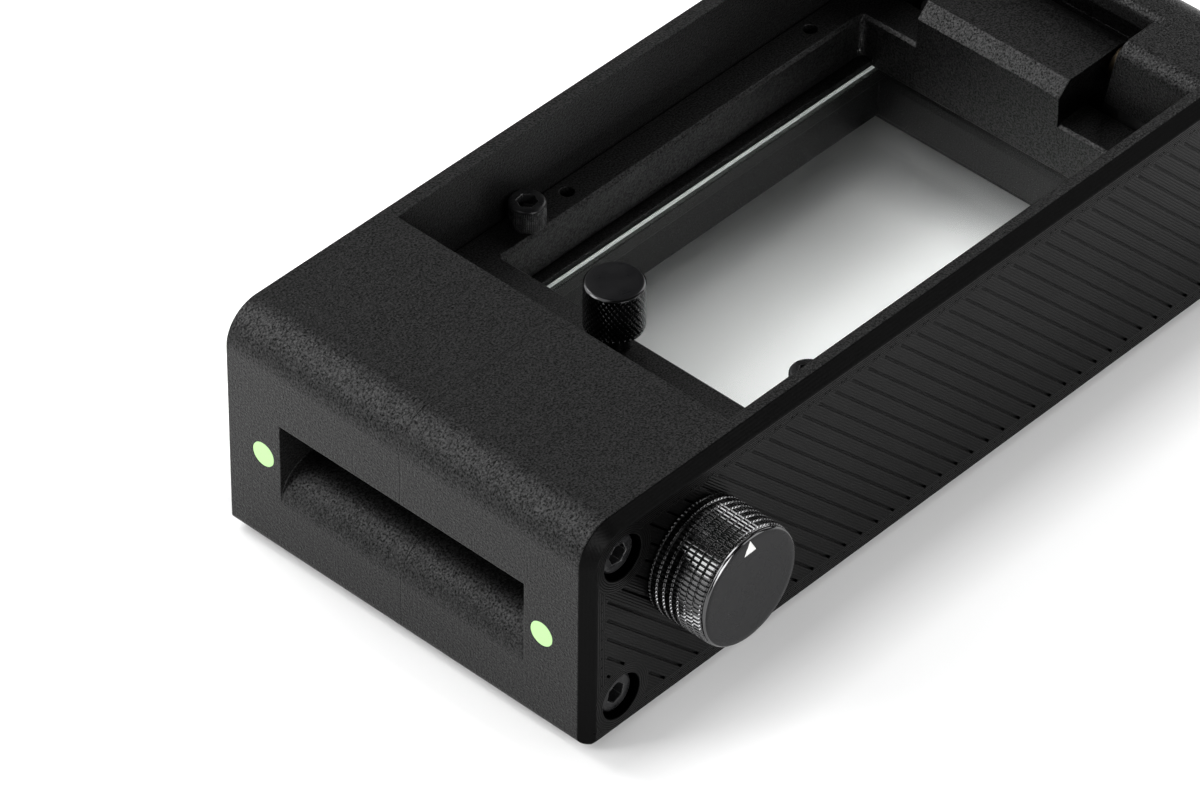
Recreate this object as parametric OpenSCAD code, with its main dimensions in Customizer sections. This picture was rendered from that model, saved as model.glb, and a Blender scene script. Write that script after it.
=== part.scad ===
// Film holder for camera scanning of roll film.
// x runs along the film from the front face, y across it from the outer face of
// the side panel, z up from the underside of the casing. place() then moves the
// whole assembly so that the origin is the bottom centre of its bounding box.

/* [Casing] */
// Length of the casing along the film
body_l = 204; // [196:1:230]
// Width of the casing without the side panel
body_w = 91.5; // [90:0.5:100]
// Height of the casing
body_h = 52; // [50:0.5:56]
// Length of the closed block over the front roller
front_block_l = 43; // [42:0.5:46]
// Length of the closed block over the rear roller
rear_block_l = 24.7; // [24:0.1:28]
// Thickness of the far side wall
far_wall = 3.3; // [2.5:0.1:3.6]
// Thickness of the near side wall behind the panel
near_wall = 2.4; // [2:0.1:3]
// Thickness of the roofs of both blocks
roof_t = 4.5; // [3.5:0.1:5]
// Thickness of the end walls above the film slots
end_wall = 3.5; // [3:0.1:4.5]
// Radius of the long rounded edge on top of each end
end_round = 8; // [5:0.5:9]
// Radius of the lower edge of each end
base_round = 1.5; // [1:0.25:3]
// Width of the ledge along the inside of the near wall
ledge_w = 3.6; // [2:0.1:3.8]
// Gap of the seam between the two halves
seam_gap = 0.06; // [0.02:0.01:0.15]
// Width of the inner foot flange that carries the film bed
flange_w = 4.4; // [4:0.1:5]
// Height of that flange
flange_h = 6.5; // [5:0.1:7]
// Radius of the inner top edge of the rear block
rear_edge_round = 4; // [2:0.25:5]

/* [Film path] */
// Width of the film slot
slot_w = 64; // [63:0.25:66]
// Height of the upper edge of the slots
slot_top = 32; // [30:0.25:34]
// Height of the film above the underside
film_z = 22; // [21:0.25:23]
// Step from the film down to the floor of the path
floor_drop = 1.6; // [1:0.1:2]
// Radius of the rounded lip below each slot
lip_r = 8; // [5:0.25:8.5]
// Clear gap between a driven roller and its pinch roller
nip_gap = 0.4; // [0.2:0.05:0.6]

/* [Side panel] */
// Thickness of the side panel
panel_t = 2.5; // [2:0.1:3]
// Bevel along the lower edge of the panel
panel_low_bevel = 0.6; // [0.4:0.1:1.5]
// Distance from each end of the panel to the grooves
groove_end_margin = 5.45; // [4.5:0.05:8]
// Height of the lower ends of the grooves
groove_low = 4.3; // [2.5:0.1:6]
// Distance of the upper ends of the grooves below the top
groove_top_margin = 6; // [5:0.1:9]
// Sum of length and height at which the first slanted groove lies
groove_start = 20.85; // [18:0.05:24]
// Spacing of the slanted grooves along the panel
groove_pitch = 4.66; // [3.5:0.02:8]
// Width of a groove
groove_w = 0.6; // [0.4:0.05:1]
// Depth of a groove
groove_d = 0.5; // [0.3:0.05:0.8]
// Plain ring left round each panel screw
groove_clear = 2.85; // [1.5:0.05:4]
// Distance from each end to the panel screws
panel_screw_x = 9.3; // [8.8:0.1:10]
// Height of the lower panel screws
panel_screw_low = 7.7; // [7.4:0.05:8.2]
// Distance of the upper panel screws below the top
panel_screw_top = 9.4; // [9:0.1:10.5]
// Diameter of the sunk holes for the panel screws
panel_sink_d = 10.1; // [9:0.1:10.2]

/* [Gate cover] */
// Height of the top face of the cover
cover_top = 34; // [33:0.25:34.5]
// Thickness of the cover beside the film
cover_t = 10; // [9:0.1:10.2]
// Distance from the window to the rear block
window_to_rear = 9.8; // [9.4:0.1:25]
// Distance from the window to the long walls of the bay
window_side = 8.1; // [8:0.1:12]
// Distance from the front face to the window
window_x = 63.9; // [62.5:0.1:65]
// Gap between the cover's end bars and the film plane
bar_gap = 0.5; // [0.3:0.05:0.8]
// Width of the hinge block
hinge_block_w = 37.3; // [30:0.1:38]
// Height of the hinge block above the cover
hinge_block_h = 9.7; // [9:0.1:10]
// Chamfer on the hinge block's front edge
hinge_chamfer = 3.1; // [1:0.1:4]
// Diameter of the hinge pin
hinge_pin_d = 3; // [2.5:0.25:3.5]
// Distance of the hinge pin from the rear face
hinge_from_rear = 16; // [15.8:0.05:16.4]
// Distance of the levelling screws from the front face
level_screw_x = 74.8; // [72:0.2:80]
// Distance of the levelling screws from the long walls of the bay
level_screw_side = 4.25; // [4.2:0.05:4.6]
// Diameter of the levelling screws' heads
level_head_d = 7.7; // [6.5:0.1:7.7]
// Height of the levelling screws' heads
level_head_h = 5.5; // [4:0.1:6]
// Spacing of the accessory holes along the film
accessory_l = 71.6; // [60:0.2:80]
// Distance of the accessory holes from the long walls of the bay
accessory_side = 3.5; // [3.2:0.1:4.1]
// Diameter of the accessory holes
accessory_d = 3.1; // [2.5:0.1:3.3]

/* [Knobs] */
// Diameter of the winding knob
knob_d = 25.8; // [22:0.1:27]
// Length of the winding knob
knob_l = 14.3; // [12:0.1:18]
// Length of the plain rim before the winding knob's face
knob_rim = 1.2; // [0.8:0.1:2]
// Spacing of the ring grooves round the winding knob
ring_pitch = 1.77; // [1.2:0.01:3]
// Gap between the winding knob and the panel
knob_gap = 0.3; // [0.3:0.1:1]
// Distance of the winding axis from the front face
drive_x = 28.4; // [27.8:0.1:29]
// Height of the winding axis
drive_z = 31.6; // [31.2:0.1:32]
// Diameter of the lifting knob
lift_d = 12.3; // [10:0.1:13]
// Height of the lifting knob's head
lift_h = 11; // [9:0.1:12]
// Height of the neck under that head
lift_neck_h = 4; // [3:0.1:5]
// Distance of the lifting knob from the front face
lift_x = 60.2; // [58:0.1:60.4]

/* [Rollers] */
// Diameter of the winding shaft
shaft_d = 5; // [4:0.5:5]
// Diameter of the rear shaft
rear_shaft_d = 4; // [3:0.5:4]
// Diameter of the rear driven roller
rear_roller_d = 11.75; // [11:0.05:12]
// Diameter of both pinch rollers
pinch_d = 10; // [9:0.1:10.4]
// Diameter of the pinch axles
pinch_axle_d = 3; // [2.5:0.1:3]
// Width of each rubber tyre
tyre_w = 10; // [6:0.5:14]
// Thickness of the rubber tyres
tyre_t = 1.6; // [1:0.1:2]
// Distance of the rear rollers from the rear face
rear_roller_from_rear = 14.6; // [14.2:0.1:15]

/* [Glass and fittings] */
// Thickness of the glass
glass_t = 2; // [2:0.25:3]
// How far the glass reaches beyond the window in front
glass_front = 12.6; // [8:0.1:13]
// How far the glass reaches beyond the window at the rear
glass_rear = 5.8; // [4:0.1:6]
// Height of the guide rails above the film plane
rail_h = 1; // [0.6:0.1:1.2]
// Diameter of the luminous dots
dot_d = 5.5; // [4:0.25:6.5]
// Distance between the centres of the luminous dots
dot_spread = 73; // [72:0.25:78]
// How far the rubber feet stand out
foot_out = 1.8; // [0.5:0.1:3]
// Diameter of the rubber feet
foot_d = 9; // [6:0.5:10]

/* [Hidden] */
$fn = 96;
eps = 0.01;
fit = 0.03;
gap = 0.3;
total_w = panel_t + body_w;
knob_out = knob_gap + knob_l;
mid_y = panel_t + body_w / 2;
near_y = panel_t + near_wall;
far_y = total_w - far_wall;
bay_y0 = near_y + ledge_w;
cover_y = (bay_y0 + far_y) / 2;
bay_w = far_y - bay_y0;
window_w = bay_w - 2 * window_side;
level_screw_y = bay_w / 2 - level_screw_side;
accessory_w = bay_w - 2 * accessory_side;
slot_y0 = mid_y - slot_w / 2;
slot_y1 = mid_y + slot_w / 2;
rear_x = body_l - rear_block_l;
skirt_t = 3;
bay_x1 = rear_x + skirt_t;
floor_z = film_z - floor_drop;
lip_z = floor_z - lip_r;
roof_z = body_h - roof_t;
cover_low = cover_top - cover_t;
skirt_z = cover_top + 2.4;
inner_wall = 3;
chamber_x = end_wall + 5.5;
window_x1 = rear_x - window_to_rear;
window_l = window_x1 - window_x;
cover_x0 = front_block_l + 0.5;
cover_x1 = rear_x - 2 * gap;
cover_y0 = bay_y0 + 0.4;
cover_y1 = far_y - 0.4;
block_y0 = cover_y - hinge_block_w / 2;
block_y1 = cover_y + hinge_block_w / 2;
hinge_top = cover_top + hinge_block_h;
knuckle_r = 4.1;
hinge_x = body_l - hinge_from_rear;
hinge_z = hinge_top - knuckle_r;
recess_low = hinge_block_w / 2 + 3.7;
recess_high = recess_low + 3;
recess_x1 = hinge_x + 3.1;
lug_z = hinge_z - 4.6;
front_r = drive_z - film_z - nip_gap / 2;
pinch_r = pinch_d / 2;
pinch_z = film_z - nip_gap / 2 - pinch_r;
rear_r = rear_roller_d / 2;
rear_roller_x = body_l - rear_roller_from_rear;
rear_z = film_z + nip_gap / 2 + rear_r;
roller_y0 = slot_y0 + 1;
roller_y1 = slot_y1 - 1;
pinch_side = 1.5;
spring_h = 4.6;
carrier_w = 5;
carrier_t = 3.2;
carrier_h = 6;
pit_z = pinch_z - carrier_h / 2 - spring_h;
panel_screw_high = body_h - panel_screw_top;
head_r = 4.25;
head_h = 5;
sink_r = panel_sink_d / 2;
sink_d = 1.35;
boss_r = sink_r + 0.65;
boss_y = sink_d + head_h + 1.3;
insert_end = boss_y + 4.4;
bearing_r = 5;
bearing_w = 4;
rail_z = film_z + rail_h;
bed_x0 = front_block_l + gap;
bed_x1 = bay_x1 - gap;
bed_y0 = bay_y0 + gap;
bed_y1 = far_y - gap;
glass_w = slot_w + 0.2;
glass_x = window_x - glass_front;
glass_l = window_l + glass_front + glass_rear;
glass_low = film_z - glass_t;
level_top = cover_top + level_head_h;
level_shank_r = 2;
lift_z = cover_top + gap;
knob_tip = -knob_out;
foot_inset_x = 7.5;
insert_wall = 0.9;
panel_shank_r = 2.5;
bed_insert_l = 5;
bush_reach = 5.5;
drag_r = 7;
drag_t = 2.2;
coil_r = 1.5;
coil_wall = 0.6;
dowel_half = 8;
level_key_r = 2.15;
cover_insert_r = 2.82;
magnet_r = 3;
magnet_h = 2.55;
stud_reach = 6;
dowel_up = 9;
dowel_in = 12.5;
bed_screw_in = 8;
foot_inset_y = 14;
dowel_r = 1.5;
stud_r = 2;

// Moves the assembly to the bottom centre of its bounding box
module place() {
    translate([-body_l / 2, knob_out - (knob_out + total_w) / 2, foot_out]) children();
}

// Box between two corners
module box(low, high) {
    translate(low) cube(high - low);
}

// Round bar along y
module bar_y(r, x, z, y0, y1) {
    translate([x, y0, z]) rotate([-90, 0, 0]) cylinder(r = r, h = y1 - y0);
}

// Round bar along z
module bar_z(r, x, y, z0, z1) {
    translate([x, y, z0]) cylinder(r = r, h = z1 - z0);
}

// Tube along y
module tube_y(r_out, r_in, x, z, y0, y1) {
    difference() {
        bar_y(r_out, x, z, y0, y1);
        bar_y(r_in, x, z, y0 - 1, y1 + 1);
    }
}

// Tube along z
module tube_z(r_out, r_in, x, y, z0, z1) {
    difference() {
        bar_z(r_out, x, y, z0, z1);
        bar_z(r_in, x, y, z0 - 1, z1 + 1);
    }
}

// Carries an outline drawn in x and z along y
module along_y(y0, y1) {
    translate([0, y1, 0]) rotate([90, 0, 0]) linear_extrude(y1 - y0) children();
}

// Carries an outline drawn in y and z along x
module along_x(x0, x1) {
    translate([x0, 0, 0]) rotate([90, 0, 90]) linear_extrude(x1 - x0) children();
}

// Side view of the casing: a rectangle with two sizes of rounded corner
module side_outline(l, h, r_top, r_low) {
    translate([r_low, 0]) square([l - 2 * r_low, r_low]);
    translate([0, r_low]) square([l, h - r_low - r_top]);
    translate([r_top, h - r_top]) square([l - 2 * r_top, r_top]);
    for (x = [r_low, l - r_low]) translate([x, r_low]) circle(r_low);
    for (x = [r_top, l - r_top]) translate([x, h - r_top]) circle(r_top);
}

// Rectangle with rounded corners
module round_rect(l, w, r) {
    translate([r, 0]) square([l - 2 * r, w]);
    translate([0, r]) square([l, w - 2 * r]);
    for (x = [r, l - r], y = [r, w - r]) translate([x, y]) circle(r);
}

// Waste outside a rounded edge that runs along y, with its solid at larger x and lower z
module edge_waste(x, z, r) {
    difference() {
        translate([x - 1, z - r]) square([r + 1, r + 1]);
        translate([x + r, z - r]) circle(r);
    }
}

// Film slot through an end wall, over its rounded lip
module slot_outline(depth) {
    difference() {
        translate([-1, lip_z]) square([depth + 1 + eps, slot_top - lip_z]);
        translate([lip_r, lip_z]) circle(lip_r);
        translate([lip_r, lip_z - 1]) square([depth, floor_z - lip_z + 1]);
    }
}

// Shaft and pinch roller cuts at one end
module roller_cuts(x, z, shaft_r, seat_r, pit_x0, pit_x1) {
    bar_y(seat_r, x, z, slot_y0 - bearing_w, slot_y0 + eps);
    bar_y(seat_r, x, z, slot_y1 - eps, slot_y1 + bearing_w);
    bar_y(shaft_r + 0.7, x, z, slot_y0 - bearing_w - 2, slot_y0);
    bar_y(shaft_r + 0.7, x, z, slot_y1, slot_y1 + bearing_w + 2);
    box([pit_x0, slot_y0, pit_z], [pit_x1, slot_y1, floor_z + eps]);
    for (y = [slot_y0 - carrier_t - 0.2, slot_y1 - eps])
        box([x - carrier_w / 2 - 0.15, y, pit_z],
            [x + carrier_w / 2 + 0.15, y + carrier_t + 0.2 + eps, floor_z]);
}

// Positions of the panel screws in x and z
function panel_screw_spots() = [
    for (x = [panel_screw_x, body_l - panel_screw_x], z = [panel_screw_low, panel_screw_high]) [x, z]
];

// Positions of the bed screws in x and y
function bed_screw_spots() = [
    for (x = [bed_x0 + bed_screw_in, (bed_x0 + bed_x1) / 2, bed_x1 - bed_screw_in],
         y = [bay_y0 + flange_w / 2 + 0.4, far_y - flange_w / 2 - 0.4]) [x, y]
];

// Positions of the dowels across the seam in x and z
function dowel_spots() = [
    [end_wall + dowel_r, slot_top + dowel_up],
    [dowel_in, (lip_z + base_round) / 2 + 1],
    [body_l - end_wall - 3, (lip_z + base_round) / 2 - 1.5],
];

// Positions of the accessory holes in x and y
function accessory_spots() = [
    for (sx = [-1, 1], sy = [-1, 1])
        [window_x + window_l / 2 + 6.1 + sx * accessory_l / 2, cover_y + sy * accessory_w / 2]
];

// Casing in one piece, before it is split into its two halves
module casing() {
    difference() {
        along_y(panel_t, total_w) side_outline(body_l, body_h, end_round, base_round);
        box([front_block_l, near_y, cover_top], [rear_x, far_y, body_h + 1]);
        box([front_block_l, bay_y0, flange_h], [bay_x1, far_y, skirt_z]);
        box([front_block_l + 4, bay_y0 + flange_w, -1],
            [bay_x1 - 4, far_y - flange_w, flange_h + eps]);
        front_cuts();
        rear_cuts();
        fastener_cuts();
    }
}

// Slot, roller chamber and film passage of the front block
module front_cuts() {
    along_y(slot_y0, slot_y1) slot_outline(chamber_x);
    box([chamber_x, slot_y0, floor_z], [front_block_l - inner_wall, slot_y1, roof_z]);
    bar_y(front_r + 0.6, drive_x, drive_z, slot_y0, slot_y1);
    box([front_block_l - inner_wall - eps, slot_y0, floor_z],
        [front_block_l + eps, slot_y1, cover_low + 1]);
    roller_cuts(drive_x, drive_z, shaft_d / 2, bearing_r,
                drive_x - pinch_r - pinch_side, drive_x + pinch_r + pinch_side);
    bar_y(shaft_d / 2 + 0.7, drive_x, drive_z, panel_t - 1, slot_y0);
    bar_y(drag_r, drive_x, drive_z, panel_t - 1, panel_t + drag_t);
    for (side = [-1, 1])
        translate([-1, mid_y + side * dot_spread / 2, film_z + 0.3]) rotate([0, 90, 0])
            cylinder(r = dot_d / 2 + 0.05, h = 1.6);
}

// Slot, roller chamber, hinge recess and rounded edges of the rear block
module rear_cuts() {
    translate([body_l, 0, 0]) mirror([1, 0, 0]) along_y(slot_y0, slot_y1) slot_outline(lip_r + eps);
    box([bay_x1 - eps, slot_y0, floor_z], [body_l - lip_r, slot_y1, lug_z]);
    box([bay_x1 - 1, cover_y - recess_low, lug_z - 0.5],
        [body_l - end_wall, cover_y + recess_low, roof_z]);
    along_x(rear_x - 1, recess_x1)
        polygon([[cover_y - recess_low, lug_z - 0.5], [cover_y + recess_low, lug_z - 0.5],
                 [cover_y + recess_low, skirt_z], [cover_y + recess_high, body_h + 1],
                 [cover_y - recess_high, body_h + 1], [cover_y - recess_low, skirt_z]]);
    roller_cuts(rear_roller_x, rear_z, rear_shaft_d / 2, bearing_r - 1,
                rear_roller_x - pinch_r - 1, rear_roller_x + pinch_r + 1);
    for (side = [[near_y, cover_y - recess_high + 1], [cover_y + recess_high - 1, far_y]])
        along_y(side[0], side[1]) edge_waste(rear_x, body_h, rear_edge_round);
    along_y(cover_y - recess_high - 1, cover_y + recess_high + 1) edge_waste(recess_x1, body_h, 2);
    bar_y(hinge_pin_d / 2 + 1.5, hinge_x, hinge_z, cover_y - recess_low - bush_reach - 0.5,
          cover_y + recess_low + bush_reach + 0.5);
}

// Holes for the screws, inserts, dowels and feet
module fastener_cuts() {
    for (s = panel_screw_spots()) {
        bar_y(boss_r + 0.15, s[0], s[1], panel_t - 1, boss_y + 0.1);
        bar_y(panel_shank_r + insert_wall, s[0], s[1], boss_y, insert_end);
    }
    for (s = bed_screw_spots()) {
        bar_z(1.7, s[0], s[1], -1, flange_h + 1);
        bar_z(2.9, s[0], s[1], -1, 3.2);
    }
    for (s = dowel_spots()) bar_y(dowel_r + fit, s[0], s[1], mid_y - dowel_half, mid_y + dowel_half);
    for (x = [foot_inset_x, body_l - foot_inset_x], y = [panel_t + foot_inset_y, total_w - foot_inset_y])
        bar_z(foot_d / 2 + 0.1, x, y, -1, 0.7);
}

module body_far_half() {
    color("#1c1c1d") place() intersection() {
        casing();
        box([-1, mid_y + seam_gap / 2, -1], [body_l + 1, total_w + 1, body_h + 1]);
    }
}

module body_near_half() {
    color("#1e1e1f") place() intersection() {
        casing();
        box([-1, 0, -1], [body_l + 1, mid_y - seam_gap / 2, body_h + 1]);
    }
}

// Plate with a full bevel that follows its outline at both ends and on top
module panel_plate() {
    difference() {
        union() {
            linear_extrude(body_h - end_round)
                polygon([[panel_t, 0], [body_l - panel_t, 0], [body_l, panel_t], [0, panel_t]]);
            along_x(end_round, body_l - end_round)
                polygon([[0, 0], [panel_t, 0], [panel_t, body_h], [0, body_h - panel_t]]);
            for (x = [end_round, body_l - end_round])
                translate([x, 0, body_h - end_round]) rotate([-90, 0, 0])
                    cylinder(r1 = end_round - panel_t, r2 = end_round, h = panel_t);
        }
        along_x(-1, body_l + 1)
            polygon([[-1, -1], [panel_low_bevel, -1], [panel_low_bevel, 0],
                     [0, panel_low_bevel], [-1, panel_low_bevel]]);
        for (end = [0, 1])
            translate([end * body_l, 0, 0]) mirror([end, 0, 0]) along_y(-1, panel_t + 1)
                translate([0, base_round]) mirror([0, 1]) translate([0, base_round])
                    edge_waste(0, 0, base_round);
    }
}

// Leaves out of a list of height spans what a round clearing takes from the line x + z = c
function spans_clear(spans, c, spot, r) =
    let (off = (c - spot[0] - spot[1]) / sqrt(2),
         mid = (spot[1] + c - spot[0]) / 2,
         half = abs(off) < r ? sqrt(r * r - off * off) / sqrt(2) : -1)
    half < 0 ? spans : [
        for (s = spans)
            each (s[1] < mid - half || s[0] > mid + half ? [s]
                : [[s[0], min(s[1], mid - half)], [max(s[0], mid + half), s[1]]])
    ];

// Applies every clearing in turn
function groove_spans(spans, c, spots, r, i = 0) =
    i == len(spots) ? spans : groove_spans(spans_clear(spans, c, spots[i], r), c, spots, r, i + 1);

// Slanted grooves with slightly wider round ends, left out round the screws
module groove_outlines() {
    z0 = groove_low;
    z1 = body_h - groove_top_margin;
    x0 = groove_end_margin;
    x1 = body_l - groove_end_margin;
    for (c = [groove_start : groove_pitch : x1 + z1 - 3]) {
        whole = [[max(z0, c - x1), min(z1, c - x0)]];
        for (s = groove_spans(whole, c, panel_screw_spots(), sink_r + groove_clear))
            if (s[1] - s[0] > 0.3) {
                translate([c - s[1], s[1]]) rotate(-45) translate([0, -groove_w / 2])
                    square([(s[1] - s[0]) * sqrt(2), groove_w]);
                for (z = s) translate([c - z, z]) circle(groove_w * 0.58, $fn = 24);
            }
    }
}

module side_panel() {
    color("#232324") place() difference() {
        union() {
            panel_plate();
            for (s = panel_screw_spots()) bar_y(boss_r, s[0], s[1], panel_t - eps, boss_y);
        }
        for (s = panel_screw_spots()) {
            bar_y(sink_r, s[0], s[1], -1, sink_d + head_h);
            bar_y(panel_shank_r + 0.25, s[0], s[1], -1, boss_y + 1);
        }
        bar_y(shaft_d / 2 + 1, drive_x, drive_z, -1, panel_t + 1);
        along_y(-1, groove_d) groove_outlines();
    }
}

// Socket cap screw along y with its head at the low end
module cap_screw_y(x, z, y0, r_head, h_head, r_shank, l_shank) {
    difference() {
        union() {
            bar_y(r_head, x, z, y0, y0 + h_head);
            bar_y(r_shank, x, z, y0 + h_head - eps, y0 + h_head + l_shank);
        }
        translate([x, y0 - 1, z]) rotate([-90, 0, 0])
            cylinder(r = r_head * 0.54, h = h_head * 0.6 + 1, $fn = 6);
    }
}

module panel_screws() {
    color("#2b2b2c") place()
        for (s = panel_screw_spots())
            cap_screw_y(s[0], s[1], sink_d, head_r, head_h - 0.02,
                        panel_shank_r, insert_end - sink_d - head_h - 0.4);
}

module panel_inserts() {
    color("#b08d45") place()
        for (s = panel_screw_spots())
            tube_y(panel_shank_r + insert_wall - 0.02, panel_shank_r + fit, s[0], s[1],
                   boss_y + 0.05, insert_end - 0.1);
}

module seam_dowels() {
    color("#a9abad") place()
        for (s = dowel_spots())
            bar_y(dowel_r, s[0], s[1], mid_y - dowel_half + 0.4, mid_y + dowel_half - 0.4);
}

// Lower frame of the gate, with its guide rails, glass seat and light opening
module film_bed() {
    color("#19191a") place() difference() {
        box([bed_x0, bed_y0, flange_h], [bed_x1, bed_y1, rail_z]);
        box([bed_x0 - 1, slot_y0, film_z - 0.4], [bed_x1 + 1, slot_y1, rail_z + 1]);
        box([glass_x - 0.15, mid_y - glass_w / 2 - 0.15, glass_low],
            [glass_x + glass_l + 0.15, mid_y + glass_w / 2 + 0.15, rail_z + 1]);
        box([glass_x + 6, mid_y - glass_w / 2 + 1.5, flange_h - 1],
            [glass_x + glass_l - 2.5, mid_y + glass_w / 2 - 1.5, glass_low + 1]);
        box([glass_x + 6, mid_y - glass_w / 2, flange_h - 1],
            [glass_x + glass_l - 2.5, mid_y + glass_w / 2, glass_low - 3]);
        for (sy = [-1, 1])
            bar_z(magnet_r + 0.05, level_screw_x, cover_y + sy * level_screw_y,
                  rail_z - magnet_h - 0.05, rail_z + 1);
        for (s = bed_screw_spots()) bar_z(2.05, s[0], s[1], flange_h - 1, flange_h + bed_insert_l + 1);
    }
}

module bed_screws() {
    color("#3a3a3c") place() for (s = bed_screw_spots()) difference() {
        union() {
            bar_z(2.75, s[0], s[1], 0.4, 3.17);
            bar_z(1.5, s[0], s[1], 3.16, flange_h + bed_insert_l + 0.4);
        }
        translate([s[0], s[1], -1]) cylinder(r = 1.4, h = 3, $fn = 6);
    }
}

module bed_inserts() {
    color("#b08d45") place()
        for (s = bed_screw_spots())
            tube_z(2.02, 1.5 + fit, s[0], s[1], flange_h + 0.2, flange_h + bed_insert_l + 0.2);
}

module base_glass() {
    color("#dfe9e6", 0.35) place()
        box([glass_x, mid_y - glass_w / 2, glass_low + 0.02],
            [glass_x + glass_l, mid_y + glass_w / 2, film_z]);
}

module seat_magnets() {
    color("#c4c6c8") place() for (sy = [-1, 1])
        bar_z(magnet_r, level_screw_x, cover_y + sy * level_screw_y, rail_z - magnet_h, rail_z);
}

// Pair of shaft bearings in the two cheeks
module bearing_pair(x, z, r_out, r_in) {
    tube_y(r_out, r_in, x, z, slot_y0 - bearing_w + 0.05, slot_y0);
    tube_y(r_out, r_in, x, z, slot_y1, slot_y1 + bearing_w - 0.05);
}

module front_bearings() {
    color("#9a9c9f") place() bearing_pair(drive_x, drive_z, bearing_r - 0.02, shaft_d / 2 + fit);
}

module rear_bearings() {
    color("#9a9c9f") place() bearing_pair(rear_roller_x, rear_z, bearing_r - 1.02, rear_shaft_d / 2 + fit);
}

// Flanged bushes of the cover's hinge
module hinge_bushes() {
    color("#b58a4a") place() for (side = [-1, 1]) {
        y0 = cover_y + side * (hinge_block_w / 2 + gap);
        y1 = cover_y + side * (recess_low + bush_reach);
        yf = cover_y + side * recess_low;
        difference() {
            union() {
                bar_y(hinge_pin_d / 2 + 1.47, hinge_x, hinge_z, min(y0, y1), max(y0, y1));
                bar_y(hinge_pin_d / 2 + 2.3, hinge_x, hinge_z, min(y0, yf), max(y0, yf) - 0.02);
            }
            bar_y(hinge_pin_d / 2 + fit, hinge_x, hinge_z, min(y0, y1) - 1, max(y0, y1) + 1);
        }
    }
}

// Felt ring that gives the winding knob its drag
module drag_washer() {
    color("#6d6a62") place()
        tube_y(drag_r - 0.1, shaft_d / 2 + fit, drive_x, drive_z, panel_t + 0.02, panel_t + drag_t - 0.02);
}

module glow_dots() {
    color("#c9f0a8") place() for (side = [-1, 1])
        translate([0, mid_y + side * dot_spread / 2, film_z + 0.3]) rotate([0, 90, 0])
            cylinder(r = dot_d / 2, h = 0.58);
}

module feet() {
    color("#2e2e2e") place()
        for (x = [foot_inset_x, body_l - foot_inset_x], y = [panel_t + foot_inset_y, total_w - foot_inset_y])
            bar_z(foot_d / 2, x, y, -foot_out, 0.7);
}

// Two coil springs under the ends of a pinch axle
module spring_pair(x) {
    for (y = [slot_y0 - carrier_t / 2 - 0.1, slot_y1 + carrier_t / 2 + 0.1])
        tube_z(coil_r, coil_r - coil_wall, x, y, pit_z, pit_z + spring_h - gap);
}

module front_springs() {
    color("#b4b6b8") place() spring_pair(drive_x);
}

module rear_springs() {
    color("#b4b6b8") place() spring_pair(rear_roller_x);
}

// Winding knob, with ring grooves where the grip is, a plain rim and a chamfered face
module knob() {
    r = knob_d / 2;
    rings = floor((knob_l - knob_rim - 0.6) / ring_pitch);
    color("#161617") place() difference() {
        translate([drive_x, knob_tip + knob_l, drive_z]) rotate([90, 0, 0]) rotate_extrude()
            difference() {
                polygon([[0, 0], [r - 0.5, 0], [r, 0.5], [r, knob_l - knob_rim],
                         [r - 0.25, knob_l - knob_rim], [r - 0.25, knob_l - 0.45],
                         [r - 0.7, knob_l], [0, knob_l]]);
                for (i = [0 : rings])
                    translate([r - 0.4, knob_l - knob_rim - i * ring_pitch - 0.25]) square([1, 0.5]);
            }
        bar_y(shaft_d / 2 + fit, drive_x, drive_z, knob_tip + 2.2, 1);
        bar_y(6, drive_x, drive_z, knob_tip + knob_l - 1.2, 1);
        translate([drive_x, knob_tip + knob_l - 4.6, drive_z]) rotate([180, 0, 0])
            cylinder(r = 1.55, h = r + 1);
        along_y(knob_tip - 1, knob_tip + 0.3) pointer_outline(0.03);
    }
}

// Small triangle at the rim of the knob's face, pointing up
module pointer_outline(grow) {
    r = knob_d / 2;
    translate([drive_x, drive_z]) rotate(2)
        polygon([[0, r - 0.9 + grow], [-1.6 - grow, r - 4 - grow], [1.6 + grow, r - 4 - grow]]);
}

module knob_pointer() {
    color("#e4e4e0") place() along_y(knob_tip, knob_tip + 0.28) pointer_outline(0);
}

module knob_grub_screw() {
    color("#3c3c3e") place() translate([drive_x, knob_tip + knob_l - 4.6, drive_z]) rotate([180, 0, 0])
        difference() {
            translate([0, 0, shaft_d / 2 + 0.05]) cylinder(r = 1.5, h = 5.5);
            translate([0, 0, shaft_d / 2 + 3]) cylinder(r = 0.75, h = 4, $fn = 6);
        }
}

module drive_shaft() {
    color("#b9bbbe") place() bar_y(shaft_d / 2, drive_x, drive_z, knob_tip + 2.4, slot_y1 + bearing_w + 1);
}

// Retaining ring beside the near bearing
module shaft_clip() {
    color("#8d8f92") place()
        tube_y(shaft_d / 2 + 1.6, shaft_d / 2 + 0.01, drive_x, drive_z, roller_y1 + 0.1, slot_y1 - gap);
}

// Roller core with a seat for a tyre at each end
module roller_core(x, z, r, r_shaft) {
    difference() {
        union() {
            bar_y(r - tyre_t, x, z, roller_y0, roller_y1);
            bar_y(r - 0.6, x, z, roller_y0 + tyre_w + 0.1, roller_y1 - tyre_w - 0.1);
        }
        bar_y(r_shaft + 0.01, x, z, roller_y0 - 1, roller_y1 + 1);
    }
}

// Rubber tyres at both ends of a roller
module roller_tyres(x, z, r) {
    tube_y(r, r - tyre_t + 0.01, x, z, roller_y0, roller_y0 + tyre_w);
    tube_y(r, r - tyre_t + 0.01, x, z, roller_y1 - tyre_w, roller_y1);
}

module front_roller_core() {
    color("#2a2a2c") place() roller_core(drive_x, drive_z, front_r, shaft_d / 2);
}

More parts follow.
